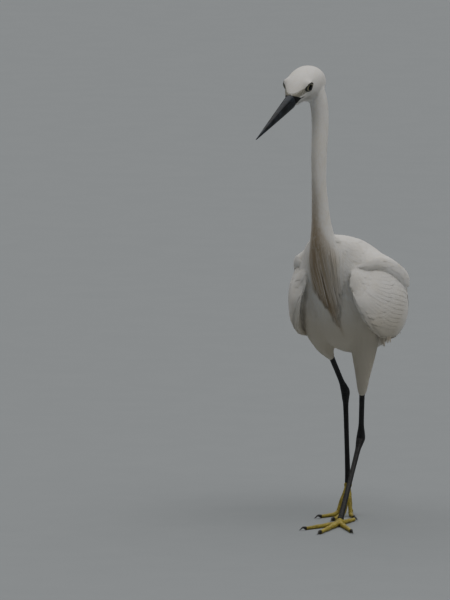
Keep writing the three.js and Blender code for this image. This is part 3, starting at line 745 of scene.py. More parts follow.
def set_points(obj, points):
    obj.data.vertices.foreach_set("co", to_scene(points).ravel())
    obj.data.update()


def eye_frame(side):
    """Centre of an eye and its outward, forward and up axes, in the head's frame."""
    centre = np.array([side * EYE_PLACE[0], EYE_PLACE[1], EYE_PLACE[2]])
    turn = turned(2, -side * EYE_TURN)
    out = turn @ np.array([side, 0.0, 0.0])
    back = turn @ np.array([0.0, 1.0, 0.0])
    return centre, out, back, np.array([0.0, 0.0, 1.0])


def ball_rings(side, radius, rings, sides, rise=0.0):
    """Rings of a ball in the place of an eye, from its outer pole to its inner one."""
    centre, out, back, up = eye_frame(side)
    phi, theta = round_grid(rings, sides, POLE, math.pi - POLE)
    wide = radius * np.sin(phi)
    local = (centre + rise * up + np.outer(radius * np.cos(phi), out)
             + np.outer(wide * np.cos(theta), back) + np.outer(wide * np.sin(theta), up))
    return on_head(local)


def ball_height(a, b):
    return np.sqrt(np.maximum(EYE_RADIUS ** 2 - a * a - b * b, 1.0))


def almond(a, b):
    """1 on the margin of the lids, less inside it."""
    reach = np.where(a < 0, LID_FRONT, LID_BACK)
    return np.abs(b) / LID_HEIGHT + (a / reach) ** 2


def sink_sockets(obj):
    """Press the skin in behind each eye, so that only the lids close round the ball."""
    points = points_of(obj)
    local = head_local(points)
    for _, side in SIDES:
        centre, out, back, up = eye_frame(side)
        rel = local - centre
        depth, a, b = rel @ out, rel @ back, rel @ up
        opening = np.abs(b) / OPEN_RISE + (a / OPEN_LENGTH) ** 2
        press = np.where(depth > -2, smoothstep(opening, 1.4, 1.05), 0)
        under = np.where(depth > -2, smoothstep(almond(a, b), 1.1, 0.85), 0)
        target = np.minimum(depth - 0.45 * under, ball_height(a, b) - 0.8)
        step = press * (target - depth) + (1 - press) * (-0.45 * under)
        local += out * step[:, None]
    set_points(obj, on_head(local))


skin, whole_skin = build_skin()


# Feathers: thin closed blades over the skin

# The side of a blade's bake patch, and how much of its thickness is left at its edges and tip.
PATCH = 0.003
EDGE_SHARE, TIP_SHARE = 0.35, 0.5


class Coat:
    """Collects batches of blades, with the bake map, the vane map and a tone for each blade."""

    def __init__(self, own_normal=0.5):
        """own_normal: how much of a blade's own shape shows in its shading, not the skin's."""
        self.own_normal = own_normal
        self.batches = []

    def add(self, grid, thick, root_uv, tone, crown=0.0, normal=None):
        """grid: (n, rows, columns, 3) points of the middle of each blade."""
        facing = np.cross(np.gradient(grid, axis=2), np.gradient(grid, axis=1))
        if np.sum(facing * normal) < 0:
            grid = grid[:, :, ::-1]
            normal = normal[:, :, ::-1]
        n, rows, columns, _ = grid.shape
        across = np.linspace(-1, 1, columns)
        arch = (1 - across ** 2)[None, None, :, None]
        taper = np.linspace(1, TIP_SHARE, rows)[None, :, None, None]
        half = (thick / 2) * (EDGE_SHARE + (1 - EDGE_SHARE) * arch) * taper
        top = grid + normal * (half + crown * arch)
        low = grid - normal * (half - crown * arch)
        both = np.stack([top, low], axis=1).reshape(n, -1, 3)
        face = unit(np.cross(np.gradient(top, axis=2), np.gradient(top, axis=1)))
        own = self.own_normal
        soft = unit(own * face + (1 - own) * np.broadcast_to(normal, face.shape))
        size = rows * columns
        index = np.arange(size).reshape(rows, columns)
        a, b = index[:-1, :-1].ravel(), index[:-1, 1:].ravel()
        c, d = index[1:, 1:].ravel(), index[1:, :-1].ravel()
        quads = [np.stack([a, b, c, d], 1), np.stack([d, c, b, a], 1) + size]
        for edge in (index[:, 0], index[::-1, -1], index[0, ::-1], index[-1]):
            e, f = edge[:-1], edge[1:]
            quads.append(np.stack([e, f, f + size, e + size], 1))
        quads = np.vstack(quads)
        # The thin edges are shaded like the face above them, so that they draw no dark lines.
        turn = np.ones(quads.size)
        turn[len(a) * 4:len(a) * 8] = -1
        normals = soft.reshape(n, -1, 3)[:, quads.ravel() % size] * turn[:, None]
        u = np.tile(np.linspace(0, 1, columns), rows)
        v = np.repeat(np.linspace(0, 1, rows), columns)
        corner = np.tile(np.stack([u, v], 1), (2, 1))[quads.ravel()]
        length = np.linalg.norm(np.diff(grid[:, :, columns // 2], axis=1), axis=2).sum(1)
        width = np.linalg.norm(grid[:, :, -1] - grid[:, :, 0], axis=2).max(1)
        vane = (corner - (0.5, 0))[None] * np.stack([width, length], 1)[:, None] / 10
        bake = root_uv[:, None, :] + (corner[None] - 0.5) * PATCH
        tones = np.repeat(tone[:, None], 2 * size, axis=1)
        self.batches.append((both, quads, normals, bake, vane, tones))

    def build(self, *names):
        """A list of pieces, one for each name, with equal shares of the blades of each batch."""
        return [self.piece(name, k / len(names), (k + 1) / len(names))
                for k, name in enumerate(names)]

    def piece(self, name, begin, end):
        """One object with the blades of each batch between two shares of it."""
        parts, faces, total = [], [], 0
        for both, quads, *values in self.batches:
            chosen = slice(round(len(both) * begin), round(len(both) * end))
            parts.append([v[chosen].reshape(-1, *v.shape[2:]) for v in (both, *values)])
            n, size = both[chosen].shape[:2]
            faces.append((quads + (np.arange(n) * size)[:, None, None] + total).reshape(-1, 4))
            total += n * size
        points, normals, bake, vane, tones = (np.concatenate(v) for v in zip(*parts))
        faces = np.vstack(faces)
        mesh = bpy.data.meshes.new(name)
        mesh.vertices.add(len(points))
        mesh.vertices.foreach_set("co", to_scene(points).ravel())
        mesh.loops.add(faces.size)
        mesh.loops.foreach_set("vertex_index", faces.ravel().astype(np.int32))
        mesh.polygons.add(len(faces))
        mesh.polygons.foreach_set("loop_start", np.arange(len(faces), dtype=np.int32) * 4)
        mesh.update(calc_edges=True)
        for key, values in (("OFBake", bake), ("Vane", vane)):
            layer = mesh.uv_layers.new(name=key)
            layer.data.foreach_set("uv", values.ravel().astype(np.float32))
        tone = mesh.attributes.new("tone", "FLOAT", "POINT")
        tone.data.foreach_set("value", tones.astype(np.float32))
        mesh.materials.append(FEATHER)
        mesh.shade_smooth()
        mesh.normals_split_custom_set(normals.tolist())
        return linked(name, mesh)


skin_tree = BVHTree.FromObject(skin, bpy.context.evaluated_depsgraph_get())


def nearest(points):
    """Nearest places on the skin, the outward direction there and the distance."""
    flat = to_scene(points.reshape(-1, 3)).tolist()
    place = np.empty((len(flat), 3))
    out = np.empty((len(flat), 3))
    far = np.empty(len(flat))
    for i, p in enumerate(flat):
        where, direction, _, distance = skin_tree.find_nearest(Vector(p))
        place[i], out[i], far[i] = where, direction, distance
    place = place / MM - SHIFT
    shape = points.shape[:-1]
    return place.reshape(*shape, 3), out.reshape(*shape, 3), far.reshape(shape) / MM


def profile(t, root, belly, tip):
    """Half width of a blade along its length: slim root, widest at belly, rounded tip."""
    rising = root + (1 - root) * np.sin(np.clip(t / belly, 0, 1) * math.pi / 2)
    falling = np.sqrt(np.clip(1 - ((t - belly) / (1.0001 - belly)) ** 2, 0, 1))
    return rising * np.where(t > belly, tip + (1 - tip) * falling, 1)


# How far the sides of a blade hang below its shaft, as a share of its half width.
EDGE_DROOP = 0.07


def blades(coat, centre, out, width, uv, tone,
           columns=3, thick=0.22, crown=0.1, stem=0.45, tip=0.12, belly=0.55):
    """Blades along centre lines, each row of points with the direction that its face looks in."""
    forward = unit(np.gradient(centre, axis=1))
    side = unit(np.cross(forward, out))
    t = np.linspace(0, 1, centre.shape[1])
    half = (width[:, None] / 2) * profile(t, stem, belly, tip)
    across = np.linspace(-1, 1, columns)
    grid = centre[:, :, None] + side[:, :, None] * (half[..., None] * across)[..., None]
    droop = (EDGE_DROOP * half[..., None] * across ** 2)[..., None]
    coat.add(grid - out[:, :, None] * droop, thick, uv, tone, crown, out[:, :, None])


def raised(t, lift, sunk=0.25):
    """How far blades stand off: sunk in at the root, free towards the tip."""
    return -sunk + (lift[:, None] + sunk) * smoothstep(t, 0, 0.75)


# Bent blades aren't tried again once the longest of them is this short.
SHORTEST = 4.0
# A target this deep under the skin is under a fold of it and isn't moved to its surface.
FOLD_DEPTH, FOLD_SHARE = 2.2, 0.12
# How far a blade's pace over the skin may be from even, and how little its faces may agree.
PACE_MAX, PACE_MIN, TURN_MIN = 1.6, 0.35, 0.35


def lay_blades(coat, root, ahead, length, width, lift, uv, tone, steps=4, **shape):
    """Blades that follow the skin from their roots, each lifting a little towards its tip."""
    t = np.linspace(0, 1, steps + 1)
    targets = root[:, None] + ahead[:, None] * (length[:, None] * t)[..., None]
    place, out, far = nearest(targets)
    inside = np.einsum("nrk,nrk->nr", targets - place, out) < 0
    hidden = (inside & (far > FOLD_DEPTH + FOLD_SHARE * length[:, None] * t))[..., None]
    centre = np.where(hidden, targets, place)
    # A blade that would bend across a crease of the skin is shortened, or left out in the end.
    pace = np.linalg.norm(np.diff(centre, axis=1), axis=2) / (length[:, None] / steps)
    turn = np.einsum("nrk,nrk->nr", out[:, 1:], out[:, :-1])
    flat = (pace.max(1) < PACE_MAX) & (pace.min(1) > PACE_MIN) & (turn.min(1) > TURN_MIN)
    bent = ~flat
    if bent.any() and length.max() > SHORTEST:
        lay_blades(coat, root[bent], ahead[bent], length[bent] * 0.55, width[bent] * 0.8,
                   lift[bent] * 0.6, uv[bent], tone[bent], steps, **shape)
    centre, out, width, lift, uv, tone = (v[flat] for v in (centre, out, width, lift, uv, tone))
    if not len(centre):
        return
    out = unit(out + 0.35 * out[:, :1])
    blades(coat, centre + out * raised(t, lift)[..., None], out, width, uv, tone, **shape)


def lattice(rows, ds, da, start, end, to_bird, grow):
    """Staggered places round a line of stations: t, angle, point and the way the coat lies."""
    fine = np.linspace(start, end, 400)
    place = frame_at(rows, fine)[0]
    run = np.concatenate([[0], np.cumsum(np.linalg.norm(np.diff(place, axis=0), axis=1))])
    ts, angles = [], []
    for k, s in enumerate(np.arange(0, run[-1], ds)):
        t = np.interp(s, run, fine)
        ring = skin_point(rows, np.full(60, t), np.arange(60) * TAU / 60, grow)
        girth = np.linalg.norm(np.roll(ring, -1, axis=0) - ring, axis=1)
        around = np.concatenate([[0], np.cumsum(girth)])
        count = max(int(around[-1] / da), 5)
        places = (np.arange(count) + 0.5 * (k % 2) + 0.35 * rng.uniform(-1, 1, count)) / count
        angle = np.interp((places % 1) * around[-1], around, np.arange(61) * TAU / 60)
        ts.append(np.clip(t + rng.uniform(-0.35, 0.35, count) * ds / run[-1] * (end - start), 0, 1))
        angles.append(angle)
    t, angle = np.concatenate(ts), np.concatenate(angles)
    point = skin_point(rows, t, angle, grow)
    after = skin_point(rows, np.minimum(t + 0.02, 1), angle, grow)
    before = skin_point(rows, np.maximum(t - 0.02, 0), angle, grow)
    ahead = unit(after - before)
    if to_bird:
        base = to_bird(np.zeros((1, 3)))
        point, ahead = to_bird(point), to_bird(ahead) - base
    return t, angle, point, ahead


def settle(point, ahead, slack):
    """Keep the roots that are on the outer skin, and lay their directions along it."""
    place, out, far = nearest(point)
    keep = far < slack
    place, out, ahead = place[keep], out[keep], ahead[keep]
    ahead = unit(ahead - out * np.einsum("nk,nk->n", ahead, out)[:, None])
    return keep, place, ahead


def bake_place(t, angle):
    """Where a root is on the skin's own unwrap, slit along one line and rolled flat."""
    return np.stack([0.02 + 0.96 * ((angle / TAU) % 1), 0.02 + 0.96 * t], 1)


def vary(count, spread):
    return 1 + rng.uniform(-spread, spread, count)


def rooted(rows, spacing, span, depth, slack, to_bird=None):
    """Roots on the skin: t, angle, place and the way the coat lies there."""
    t, angle, point, ahead = lattice(rows, *spacing, *span, to_bird, -COAT_DEPTH[depth])
    kept, place, ahead = settle(point, ahead, slack)
    return t[kept], angle[kept], place, ahead


def coat_region(coat, rows, spacing, span, size, depth, slack, to_bird=None,
                keep_where=None, steer=None, **shape):
    """One region of small feathers. size(t, angle) gives length, width and lift."""
    t, angle, place, ahead = rooted(rows, spacing, span, depth, slack, to_bird)
    if steer is not None:
        ahead = steer(place, ahead)
    if keep_where is not None:
        chosen = keep_where(place)
        t, angle, place, ahead = t[chosen], angle[chosen], place[chosen], ahead[chosen]
    length, width, lift = size(t, angle)
    count = len(t)
    ahead = unit(ahead + 0.06 * rng.normal(size=(count, 3)))
    lay_blades(coat, place, ahead, length * vary(count, 0.15), width * vary(count, 0.15),
               lift * vary(count, 0.3), bake_place(t, angle), rng.random(count) ** 2, **shape)


def feathered(place):
    """True where the head isn't bare: off the lores, the eye rims and the corner of the mouth."""
    local = head_local(place)
    x, y, z = np.abs(local[:, 0]), local[:, 1], local[:, 2]
    off = np.abs(z - (LORE_SLOPE * y + LORE_AT_EYE))
    lore = (y < LORE_BACK[1]) & (off < LORE_HALF + 0.7 * rng.normal(size=len(place)))
    eye = np.zeros(len(place), bool)
    for _, side in SIDES:
        centre, out, back, up = eye_frame(side)
        rel = local - centre
        eye |= (almond(rel @ back, rel @ up) < 1.12) & (rel @ out > -2)
    behind, rise = y - GAPE_TIP[0], z - GAPE_TIP[1]
    gape = (behind < 0) & (rise < -GAPE_OVER * behind) & (rise > GAPE_BELOW * behind)
    on_bill = y < -BILL_BASE + 0.5
    return ~(((lore | gape) & (x > 2.5)) | eye | on_bill)


def round_eyes(place, ahead):
    """Turn the lie of the feathers aside where it would run over the lids."""
    local, flow = head_local(place), ahead @ HEAD_MATRIX
    for _, side in SIDES:
        centre, out, back, up = eye_frame(side)
        rel = local - centre
        a, b = rel @ back, rel @ up
        away = unit(np.outer(a / LID_BACK ** 2, back) + np.outer(b / LID_HEIGHT ** 2, up))
        inwards = np.minimum(np.einsum("nk,nk->n", flow, away), 0)
        near = smoothstep(almond(a, b), 2.6, 1.2) * (rel @ out > -2)
        flow = unit(flow - away * (inwards * near)[:, None])
    return flow @ HEAD_MATRIX.T


def head_feathers():
    coat = Coat()

    def size(t, angle):
        back = smoothstep(t, 0.1, 0.8)
        throat = smoothstep(-np.sin(angle), 0.45, 0.85) * smoothstep(t, 0.66, 0.5)
        fluff = throat * rng.random(len(t))
        return (3.2 + 4.0 * back + 3.5 * throat, 1.3 + 0.9 * back,
                0.25 + 0.3 * back + 1.8 * fluff)

    coat_region(coat, HEAD, (1.2, 1.15), (0.02, 1), size, "head", 2.0, on_head,
                feathered, round_eyes, steps=3, thick=0.14, crown=0.06)
    return coat.build("feathers_head")


def plain_feathers(names, rows, depth, spacing, span, slack, gain, sizes, **shape):
    """Small feathers over one line of stations.

    sizes has length, width and lift, each as a value at the start and what it gains by t.
    """
    coat = Coat()

    def size(t, angle):
        more = smoothstep(t, *gain)
        return [value + change * more for value, change in sizes]

    coat_region(coat, rows, spacing, span, size, depth, slack, **shape)
    return coat.build(*names)


def neck_feathers():
    return plain_feathers(
        ["feathers_neck_upper", "feathers_neck_lower"], NECK, "neck", (1.6, 1.4), (0.03, 0.93),
        2.5, (0.5, 1), [(7.5, 7), (1.9, 1.2), (0.25, 0.3)],
        steps=4, thick=0.14, crown=0.05, tip=0.1, stem=0.7)


def body_feathers():
    return plain_feathers(
        ["feathers_body_front", "feathers_body_rear"], TORSO, "torso", (2.5, 2.2), (0.02, 0.99),
        3.2, (0.1, 0.7), [(12, 7), (2.8, 1.6), (0.45, 0.35)],
        steps=4, thick=0.2, crown=0.08, tip=0.08)


def thigh_feathers(name):
    return plain_feathers(
        ["feathers_thigh_" + name], THIGHS[name], "thigh", (2.1, 2.0), (0.05, 0.98),
        2.5, (0.3, 1), [(11, -4), (3.0, -1.4), (0.5, -0.2)],
        steps=4, thick=0.2, crown=0.1, tip=0.08)


SCAPULAR_GAIN = (0.05, 0.7)


def shoulder_feathers(side, name):
    """Scapulars: they follow the shoulder itself, so their edge stands over the folded wing."""
    coat = Coat()
    rows = shoulder_rows(side)
    t, angle, place, ahead = rooted(rows, (2.6, 2.4), (0.0, 0.97), "torso", 2.6)
    outer = (side * np.cos(angle) * 0.6 - np.sin(angle) > 0.2) & (place[:, 1] < 0)
    top = ~outer
    back = smoothstep(t[top], *SCAPULAR_GAIN)
    count = top.sum()
    lay_blades(coat, place[top], ahead[top], (13 + 9 * back) * vary(count, 0.12),
               (3.2 + 1.6 * back) * vary(count, 0.12), (0.7 + 0.3 * back) * vary(count, 0.2),
               bake_place(t[top], angle[top]), rng.random(count) ** 2,
               steps=5, thick=0.2, crown=0.08, tip=0.1)
    t, angle = t[outer], angle[outer]
    count = len(t)
    back = smoothstep(t, *SCAPULAR_GAIN)
    before, after = np.maximum(t - 0.02, 0), np.minimum(t + 0.02, 1)
    pace = np.linalg.norm(frame_at(rows, after)[0] - frame_at(rows, before)[0], axis=1)
    pace /= after - before
    length = np.minimum((13 + 15 * back) * vary(count, 0.12), (1.0 - t) * pace)
    steps = np.linspace(0, 1, 7)
    along = t[:, None] + (length / pace)[:, None] * steps
    turn = angle[:, None] - side * (0.12 + 0.05 * rng.normal(size=(count, 1))) * steps
    place = skin_point(rows, along.ravel(), turn.ravel(), -0.4).reshape(count, -1, 3)
    out = unit(place - frame_at(rows, along.ravel())[0].reshape(count, -1, 3))
    lift = (0.9 + 0.8 * back) * vary(count, 0.25)
    blades(coat, place + out * raised(steps, lift)[..., None], out,
           (3.4 + 2.6 * back) * vary(count, 0.12), bake_place(t, angle), rng.random(count) ** 2,
           thick=0.22, crown=0.08, tip=0.15)
    return coat.build("feathers_shoulder_" + name)


# Wings

ROOT_SINK = 1.0
EDGE_LIFT = 0.2
EDGE_ANGLES = (-1.35, -0.7)
VANE_ROLL = 0.07
VANE_BOW = 0.004
VANE_COLUMNS = 7
RAGGED = 0.10
WING_TIERS = [
    # name, count, width, lift, rows, lowest root and tip, highest root and tip
    ("primaries", 8, 10, 0.7, 26, [[0.46, -1.15], [0.84, -1.05]], [[0.52, -0.7], [1.0, -0.2]]),
    ("secondaries", 13, 12, 0.9, 24, [[0.28, -1.1], [0.62, -1.15]], [[0.34, 0.1], [0.95, 0]]),
    ("tertials", 6, 15, 1.5, 24, [[0.34, 0.3], [0.95, 0.15]], [[0.3, 1.15], [0.82, 1.05]]),
    ("greater", 15, 10, 1.2, 14, [[0.13, -1.0], [0.40, -1.08]], [[0.19, 0.65], [0.56, 0.5]]),
    ("median", 16, 9, 1.4, 10, [[0.06, -0.95], [0.26, -1.05]], [[0.10, 0.7], [0.36, 0.6]]),
]


def wing_sheet(side, start, end, lift, t, aside):
    """Points over a wing along a line from root to tip, aside millimetres to its upper side."""
    u = start[0] + (end[0] - start[0]) * t
    middle = start[1] + (end[1] - start[1]) * t
    flat_u, flat_middle = u.ravel(), middle.ravel()
    reach = np.linalg.norm(wing_point(side, flat_u, flat_middle + 0.05)
                           - wing_point(side, flat_u, flat_middle - 0.05), axis=1) / 0.1
    angle = flat_middle + aside.ravel() / np.maximum(reach, 4)
    centre = frame_at(WING, flat_u)[0]
    centre[:, 0] = centre[:, 0] * side + WING_SHIFT
    across_u = wing_point(side, flat_u + 0.02, angle) - wing_point(side, flat_u - 0.02, angle)
    across_a = wing_point(side, flat_u, angle + 0.02) - wing_point(side, flat_u, angle - 0.02)
    out = unit(np.cross(across_u, across_a))
    point = wing_point(side, flat_u, angle)
    facing = np.sign(np.einsum("nk,nk->n", out, point - centre))
    out = out * np.where(facing == 0, 1, facing)[:, None]
    # Towards the lower edge the tiers lie closer, so that no gap shows under them.
    close = EDGE_LIFT + (1 - EDGE_LIFT) * smoothstep(angle, *EDGE_ANGLES)
    place = point + out * (lift.ravel() * close)[:, None]
    return place.reshape(*t.shape, 3), out.reshape(*t.shape, 3)


def long_vane(coat, side, start, end, lift, width, rows, uv, tone):
    t = np.linspace(0, 1, rows + 1)
    across = np.linspace(-1, 1, VANE_COLUMNS)
    half = (width / 2) * profile(t, 0.55, 0.6, 0.35)
    ragged = np.ones((rows + 1, VANE_COLUMNS))
    ragged[:, 0] -= RAGGED * rng.random(rows + 1) ** 3
    ragged[:, -1] -= RAGGED * rng.random(rows + 1) ** 3
    aside = half[:, None] * across * ragged
    along = np.repeat(t[:, None], VANE_COLUMNS, axis=1)
    rise = -ROOT_SINK + (lift + ROOT_SINK) * smoothstep(along, 0, 0.6)
    level = rise - VANE_ROLL * aside - VANE_BOW * aside ** 2
    place, out = wing_sheet(side, start, end, level, along, aside)
    coat.add(place[None], 0.2, np.array([uv]), np.array([tone]), 0.05, out[None])


def wing_feathers(side, name):
    coat = Coat(0.85)
    for _, count, width, lift, rows, lowest, highest in WING_TIERS:
        for k in range(count):
            f = k / (count - 1)
            start = [a + (b - a) * f for a, b in zip(lowest[0], highest[0])]
            end = [a + (b - a) * f for a, b in zip(lowest[1], highest[1])]
            end[0] = min(end[0] + 0.012 * rng.uniform(-1, 1), 1)
            uv = (0.1 + 0.8 * start[0], 0.5 + 0.28 * start[1])
            long_vane(coat, side, start, end, lift + 0.8 * f, width * (0.95 + 0.1 * rng.random()),
                      rows, uv, 0.6 * rng.random())
    small_coverts(coat, side)
    return coat.build("feathers_wing_" + name)


# Up to COVERTS_ALL of the wing the coverts cover all of it, then only its lower edge.
COVERTS_END, COVERTS_ALL, COVERTS_PITCH = 0.8, 0.27, 0.011
COVERTS_LOW, COVERTS_TOP, EDGE_TOP = -2.1, 2.1, -1.0


def small_coverts(coat, side):
    """Lesser coverts, marginal coverts and the edges of the wing, row over row."""
    ts, angles = [], []
    for k, u in enumerate(np.arange(0.0, COVERTS_END, COVERTS_PITCH)):
        whole = u < COVERTS_ALL
        top = COVERTS_TOP if whole else EDGE_TOP
        ring = wing_point(side, np.full(80, u), np.linspace(COVERTS_LOW, top, 80))
        girth = np.linalg.norm(np.diff(ring, axis=0), axis=1).sum()
        count = max(int(girth / (3.1 if whole else 1.8)), 3)
        spots = (np.arange(count) + 0.5 * (k % 2) + 0.3 * rng.uniform(-1, 1, count)) / count
        angles.append(COVERTS_LOW + (top - COVERTS_LOW) * np.clip(spots, 0, 1))
        ts.append(np.full(count, u) + rng.uniform(-0.004, 0.004, count))
    u, angle = np.clip(np.concatenate(ts), 0, 1), np.concatenate(angles)
    point = wing_point(side, u, angle)
    ahead = unit(wing_point(side, u + 0.02, angle * 0.985) - point)
    kept, place, ahead = settle(point, ahead, 2.5)
    u, angle = u[kept], angle[kept]
    count = len(u)
    back = smoothstep(u, 0, 0.25)
    bake = np.stack([0.1 + 0.8 * u, 0.5 + 0.2 * angle], 1)
    edge = np.maximum(smoothstep(-angle, 0.9, 1.3), smoothstep(u, 0.06, 0.02))
    lift = (0.6 + 1.2 * back) * (1 - 0.75 * edge) * vary(count, 0.12)
    lay_blades(coat, place, ahead, (8.5 + 7 * back) * vary(count, 0.12),
               (3.6 + 2 * back) * (1 - 0.5 * edge) * vary(count, 0.12), lift, bake,
               rng.random(count) ** 2, thick=0.16, crown=0.05, tip=0.25, belly=0.6)


TAIL_PAIRS = 6
TAIL_Y, TAIL_Z = 104, 187.5
TAIL_LENGTH, TAIL_FALL, TAIL_SPREAD, TAIL_HALF = 42, 10, 2.7, 4.6


def tail_feathers():
    coat = Coat()
    t = np.linspace(0, 1, 21)
    along = np.repeat(t[:, None], VANE_COLUMNS, axis=1)
    half = TAIL_HALF * profile(t, 0.5, 0.6, 0.45)
    aside = half[:, None] * np.linspace(-1, 1, VANE_COLUMNS)
    for k in range(-TAIL_PAIRS, TAIL_PAIRS + 1):
        off = abs(k) / 2
        x = TAIL_SPREAD * (k / 2) * (0.25 + 0.75 * along) + aside
        y = TAIL_Y + (TAIL_LENGTH - 1.4 * off) * along
        arch = 1.5 * np.sin(math.pi * along) - 0.03 * x * x
        z = TAIL_Z - TAIL_FALL * along + arch - 1.15 * off * along + 0.2
        grid = np.stack([x, y, z], -1)[None]
        up = np.broadcast_to(unit(np.array([0, 0.2, 1.0])), grid.shape)
        uv = np.array([[0.5 + 0.06 * k, 0.5]])
        coat.add(grid, 0.3, uv, np.array([0.3 * rng.random()]), 0.1, up)
    return coat.build("feathers_tail")


coat_pieces = head_feathers() + neck_feathers() + body_feathers() + tail_feathers()
for name, side in SIDES:
    coat_pieces += thigh_feathers(name)
for name, side in SIDES:
    coat_pieces += shoulder_feathers(side, name)
for name, side in SIDES:
    coat_pieces += wing_feathers(side, name)


# Breast plumes: long narrow strands that hang from the root of the neck

PLUME_LOCKS, PLUME_STRANDS = 34, 20
BIB_TIP_X, BIB_TIP_Z = 7, 194
# The tips are higher by this much at the sides, from lock to lock and from strand to strand.
TIP_ASIDE, TIP_LOCK, TIP_STRAND = 44, 18, 5
# The roots: their middle and half width, and their height at the surface, deep down and aside.
ROOT_MIDDLE, ROOT_HALF = 0.5, 17.5
ROOT_LOW, ROOT_DEEP, ROOT_ASIDE = 268, 36, -6
# How far the tips spread to the bird's right and left of the bib's lowest one.
BIB_SPREAD = (23.0, 11.0)
RAY_FROM = -200.0
MISSED_FROM = -90


def front_of_skin(x, z):
    """Where the skin is seen from straight ahead at x and z, and its outward direction."""
    place, out = np.empty((*x.shape, 3)), np.empty((*x.shape, 3))
    for index in np.ndindex(x.shape):
        start = Vector(to_scene([x[index], RAY_FROM, z[index]]).tolist())
        where, direction, _, _ = skin_tree.ray_cast(start, Vector((0, 1, 0)))
        if where is None:
            start.y = MISSED_FROM * MM
            where, direction, _, _ = skin_tree.find_nearest(start)
        place[index], out[index] = where, direction
    return place / MM - SHIFT, out


def breast_plumes():
    coat = Coat(0.8)
    count = PLUME_LOCKS * PLUME_STRANDS
    lock = np.linspace(-1, 1, PLUME_LOCKS) + rng.uniform(-0.03, 0.03, PLUME_LOCKS)
    lock = np.repeat(lock, PLUME_STRANDS)
    high = np.repeat(rng.random(PLUME_LOCKS), PLUME_STRANDS)
    off = np.abs(lock)
    spread = np.where(lock < 0, *BIB_SPREAD) * np.sign(lock) * off ** 1.2
    tip_x = BIB_TIP_X + spread + rng.normal(0, 0.4, count)
    tip_z = BIB_TIP_Z + TIP_ASIDE * off + TIP_LOCK * high * (1 - 0.5 * off)
    tip_z += TIP_STRAND * rng.random(count)
    root = np.clip(lock + rng.uniform(-0.22, 0.22, count), -1.1, 1.1)
    depth = 0.6 * high + 0.4 * rng.random(count)
    root_x = ROOT_MIDDLE + ROOT_HALF * root
    root_z = ROOT_LOW + ROOT_DEEP * depth + ROOT_ASIDE * np.abs(root)
    t = np.linspace(0, 1, 15)
    x = root_x[:, None] + (tip_x - root_x)[:, None] * t ** 1.4
    z = root_z[:, None] + (tip_z - root_z)[:, None] * t
    place, out = front_of_skin(x, z)
    out = unit(out + 0.5 * np.array([0, -1.0, 0.1]))
    full = (1 - 0.8 * off ** 2) * (0.9 + 4.4 * depth) + 0.4 * rng.random(count)
    centre = place + out * raised(t, full, 0.3)[..., None]
    uv = np.stack([0.5 + 0.4 * root, 0.2 + 0.6 * depth], 1)
    blades(coat, centre, out, rng.uniform(0.8, 1.7, count), uv, rng.random(count),
           thick=0.25, crown=0.15, stem=0.6, tip=0.03, belly=0.35)
    return coat.build("feathers_breast_plumes")


VENT_STRANDS = 26


def hanging(coat, start, end, width, out, bend, tone):
    """Free blades from start to end, bowed outwards between them."""
    start, end = np.array(start, float), np.array(end, float)
    t = np.linspace(0, 1, 8)[None, :, None]
    out = np.broadcast_to(unit(np.array(out, float)), (len(start), 8, 3))
    centre = start[:, None] + (end - start)[:, None] * t + out * bend * np.sin(math.pi * t)
    uv = np.full((len(start), 2), 0.5) + 0.2 * rng.uniform(-1, 1, (len(start), 2))
    blades(coat, centre, out, width, uv, tone, thick=0.2, crown=0.1, stem=0.6, tip=0.05, belly=0.4)


def stray_feathers():
    """A few feathers that hang out of place: below the left wing and behind the left thigh."""
    coat = Coat(0.8)
    starts = [[38.6, -77.5, 221], [38.0, -76.5, 219], [39.4, -75.5, 214]]
    ends = [[44.2, -61.5, 200.5], [43.2, -62.5, 201.5], [45.0, -58.5, 198.5]]
    hanging(coat, starts, ends, np.array([2.4, 1.8, 1.6]), [0.55, -0.75, -0.3], 1.6,
            np.array([0.0, 0.1, 0.3]))
    count = VENT_STRANDS
    f = rng.random(count)
    starts = np.stack([39 + 9 * f, -30 + 12 * rng.random(count), 196 + 2 * rng.random(count)], 1)
    drop = 12 + 9 * rng.random(count) * (1 - 0.5 * f)
    ends = starts + np.stack([rng.normal(0, 1, count), 4 * rng.random(count), -drop], 1)
    hanging(coat, starts, ends, rng.uniform(0.9, 1.8, count), [0.5, -0.8, 0.1], 0.8,
            rng.random(count))
    return coat.build("feathers_stray")


coat_pieces += breast_plumes() + stray_feathers()


# Bill

# The horn's and the legs' edges are sharp from this many degrees on.
SHARP = 60
BILL_SUNK = 3.5
MOUTH_AT_TIP, MOUTH_GAP = 0.2, 0.12
# The width and height that stay at the tip, as shares of those at the base.
TIP_WIDTH, TIP_HEIGHT = 0.05, 0.06
UPPER_SHARE, LOWER_SHARE = 0.55, 0.45
TAPER = 1.08


def mouth_height(forward):
    return MOUTH_AT_BASE + (MOUTH_AT_TIP - MOUTH_AT_BASE) * (forward - BILL_BASE) / CULMEN


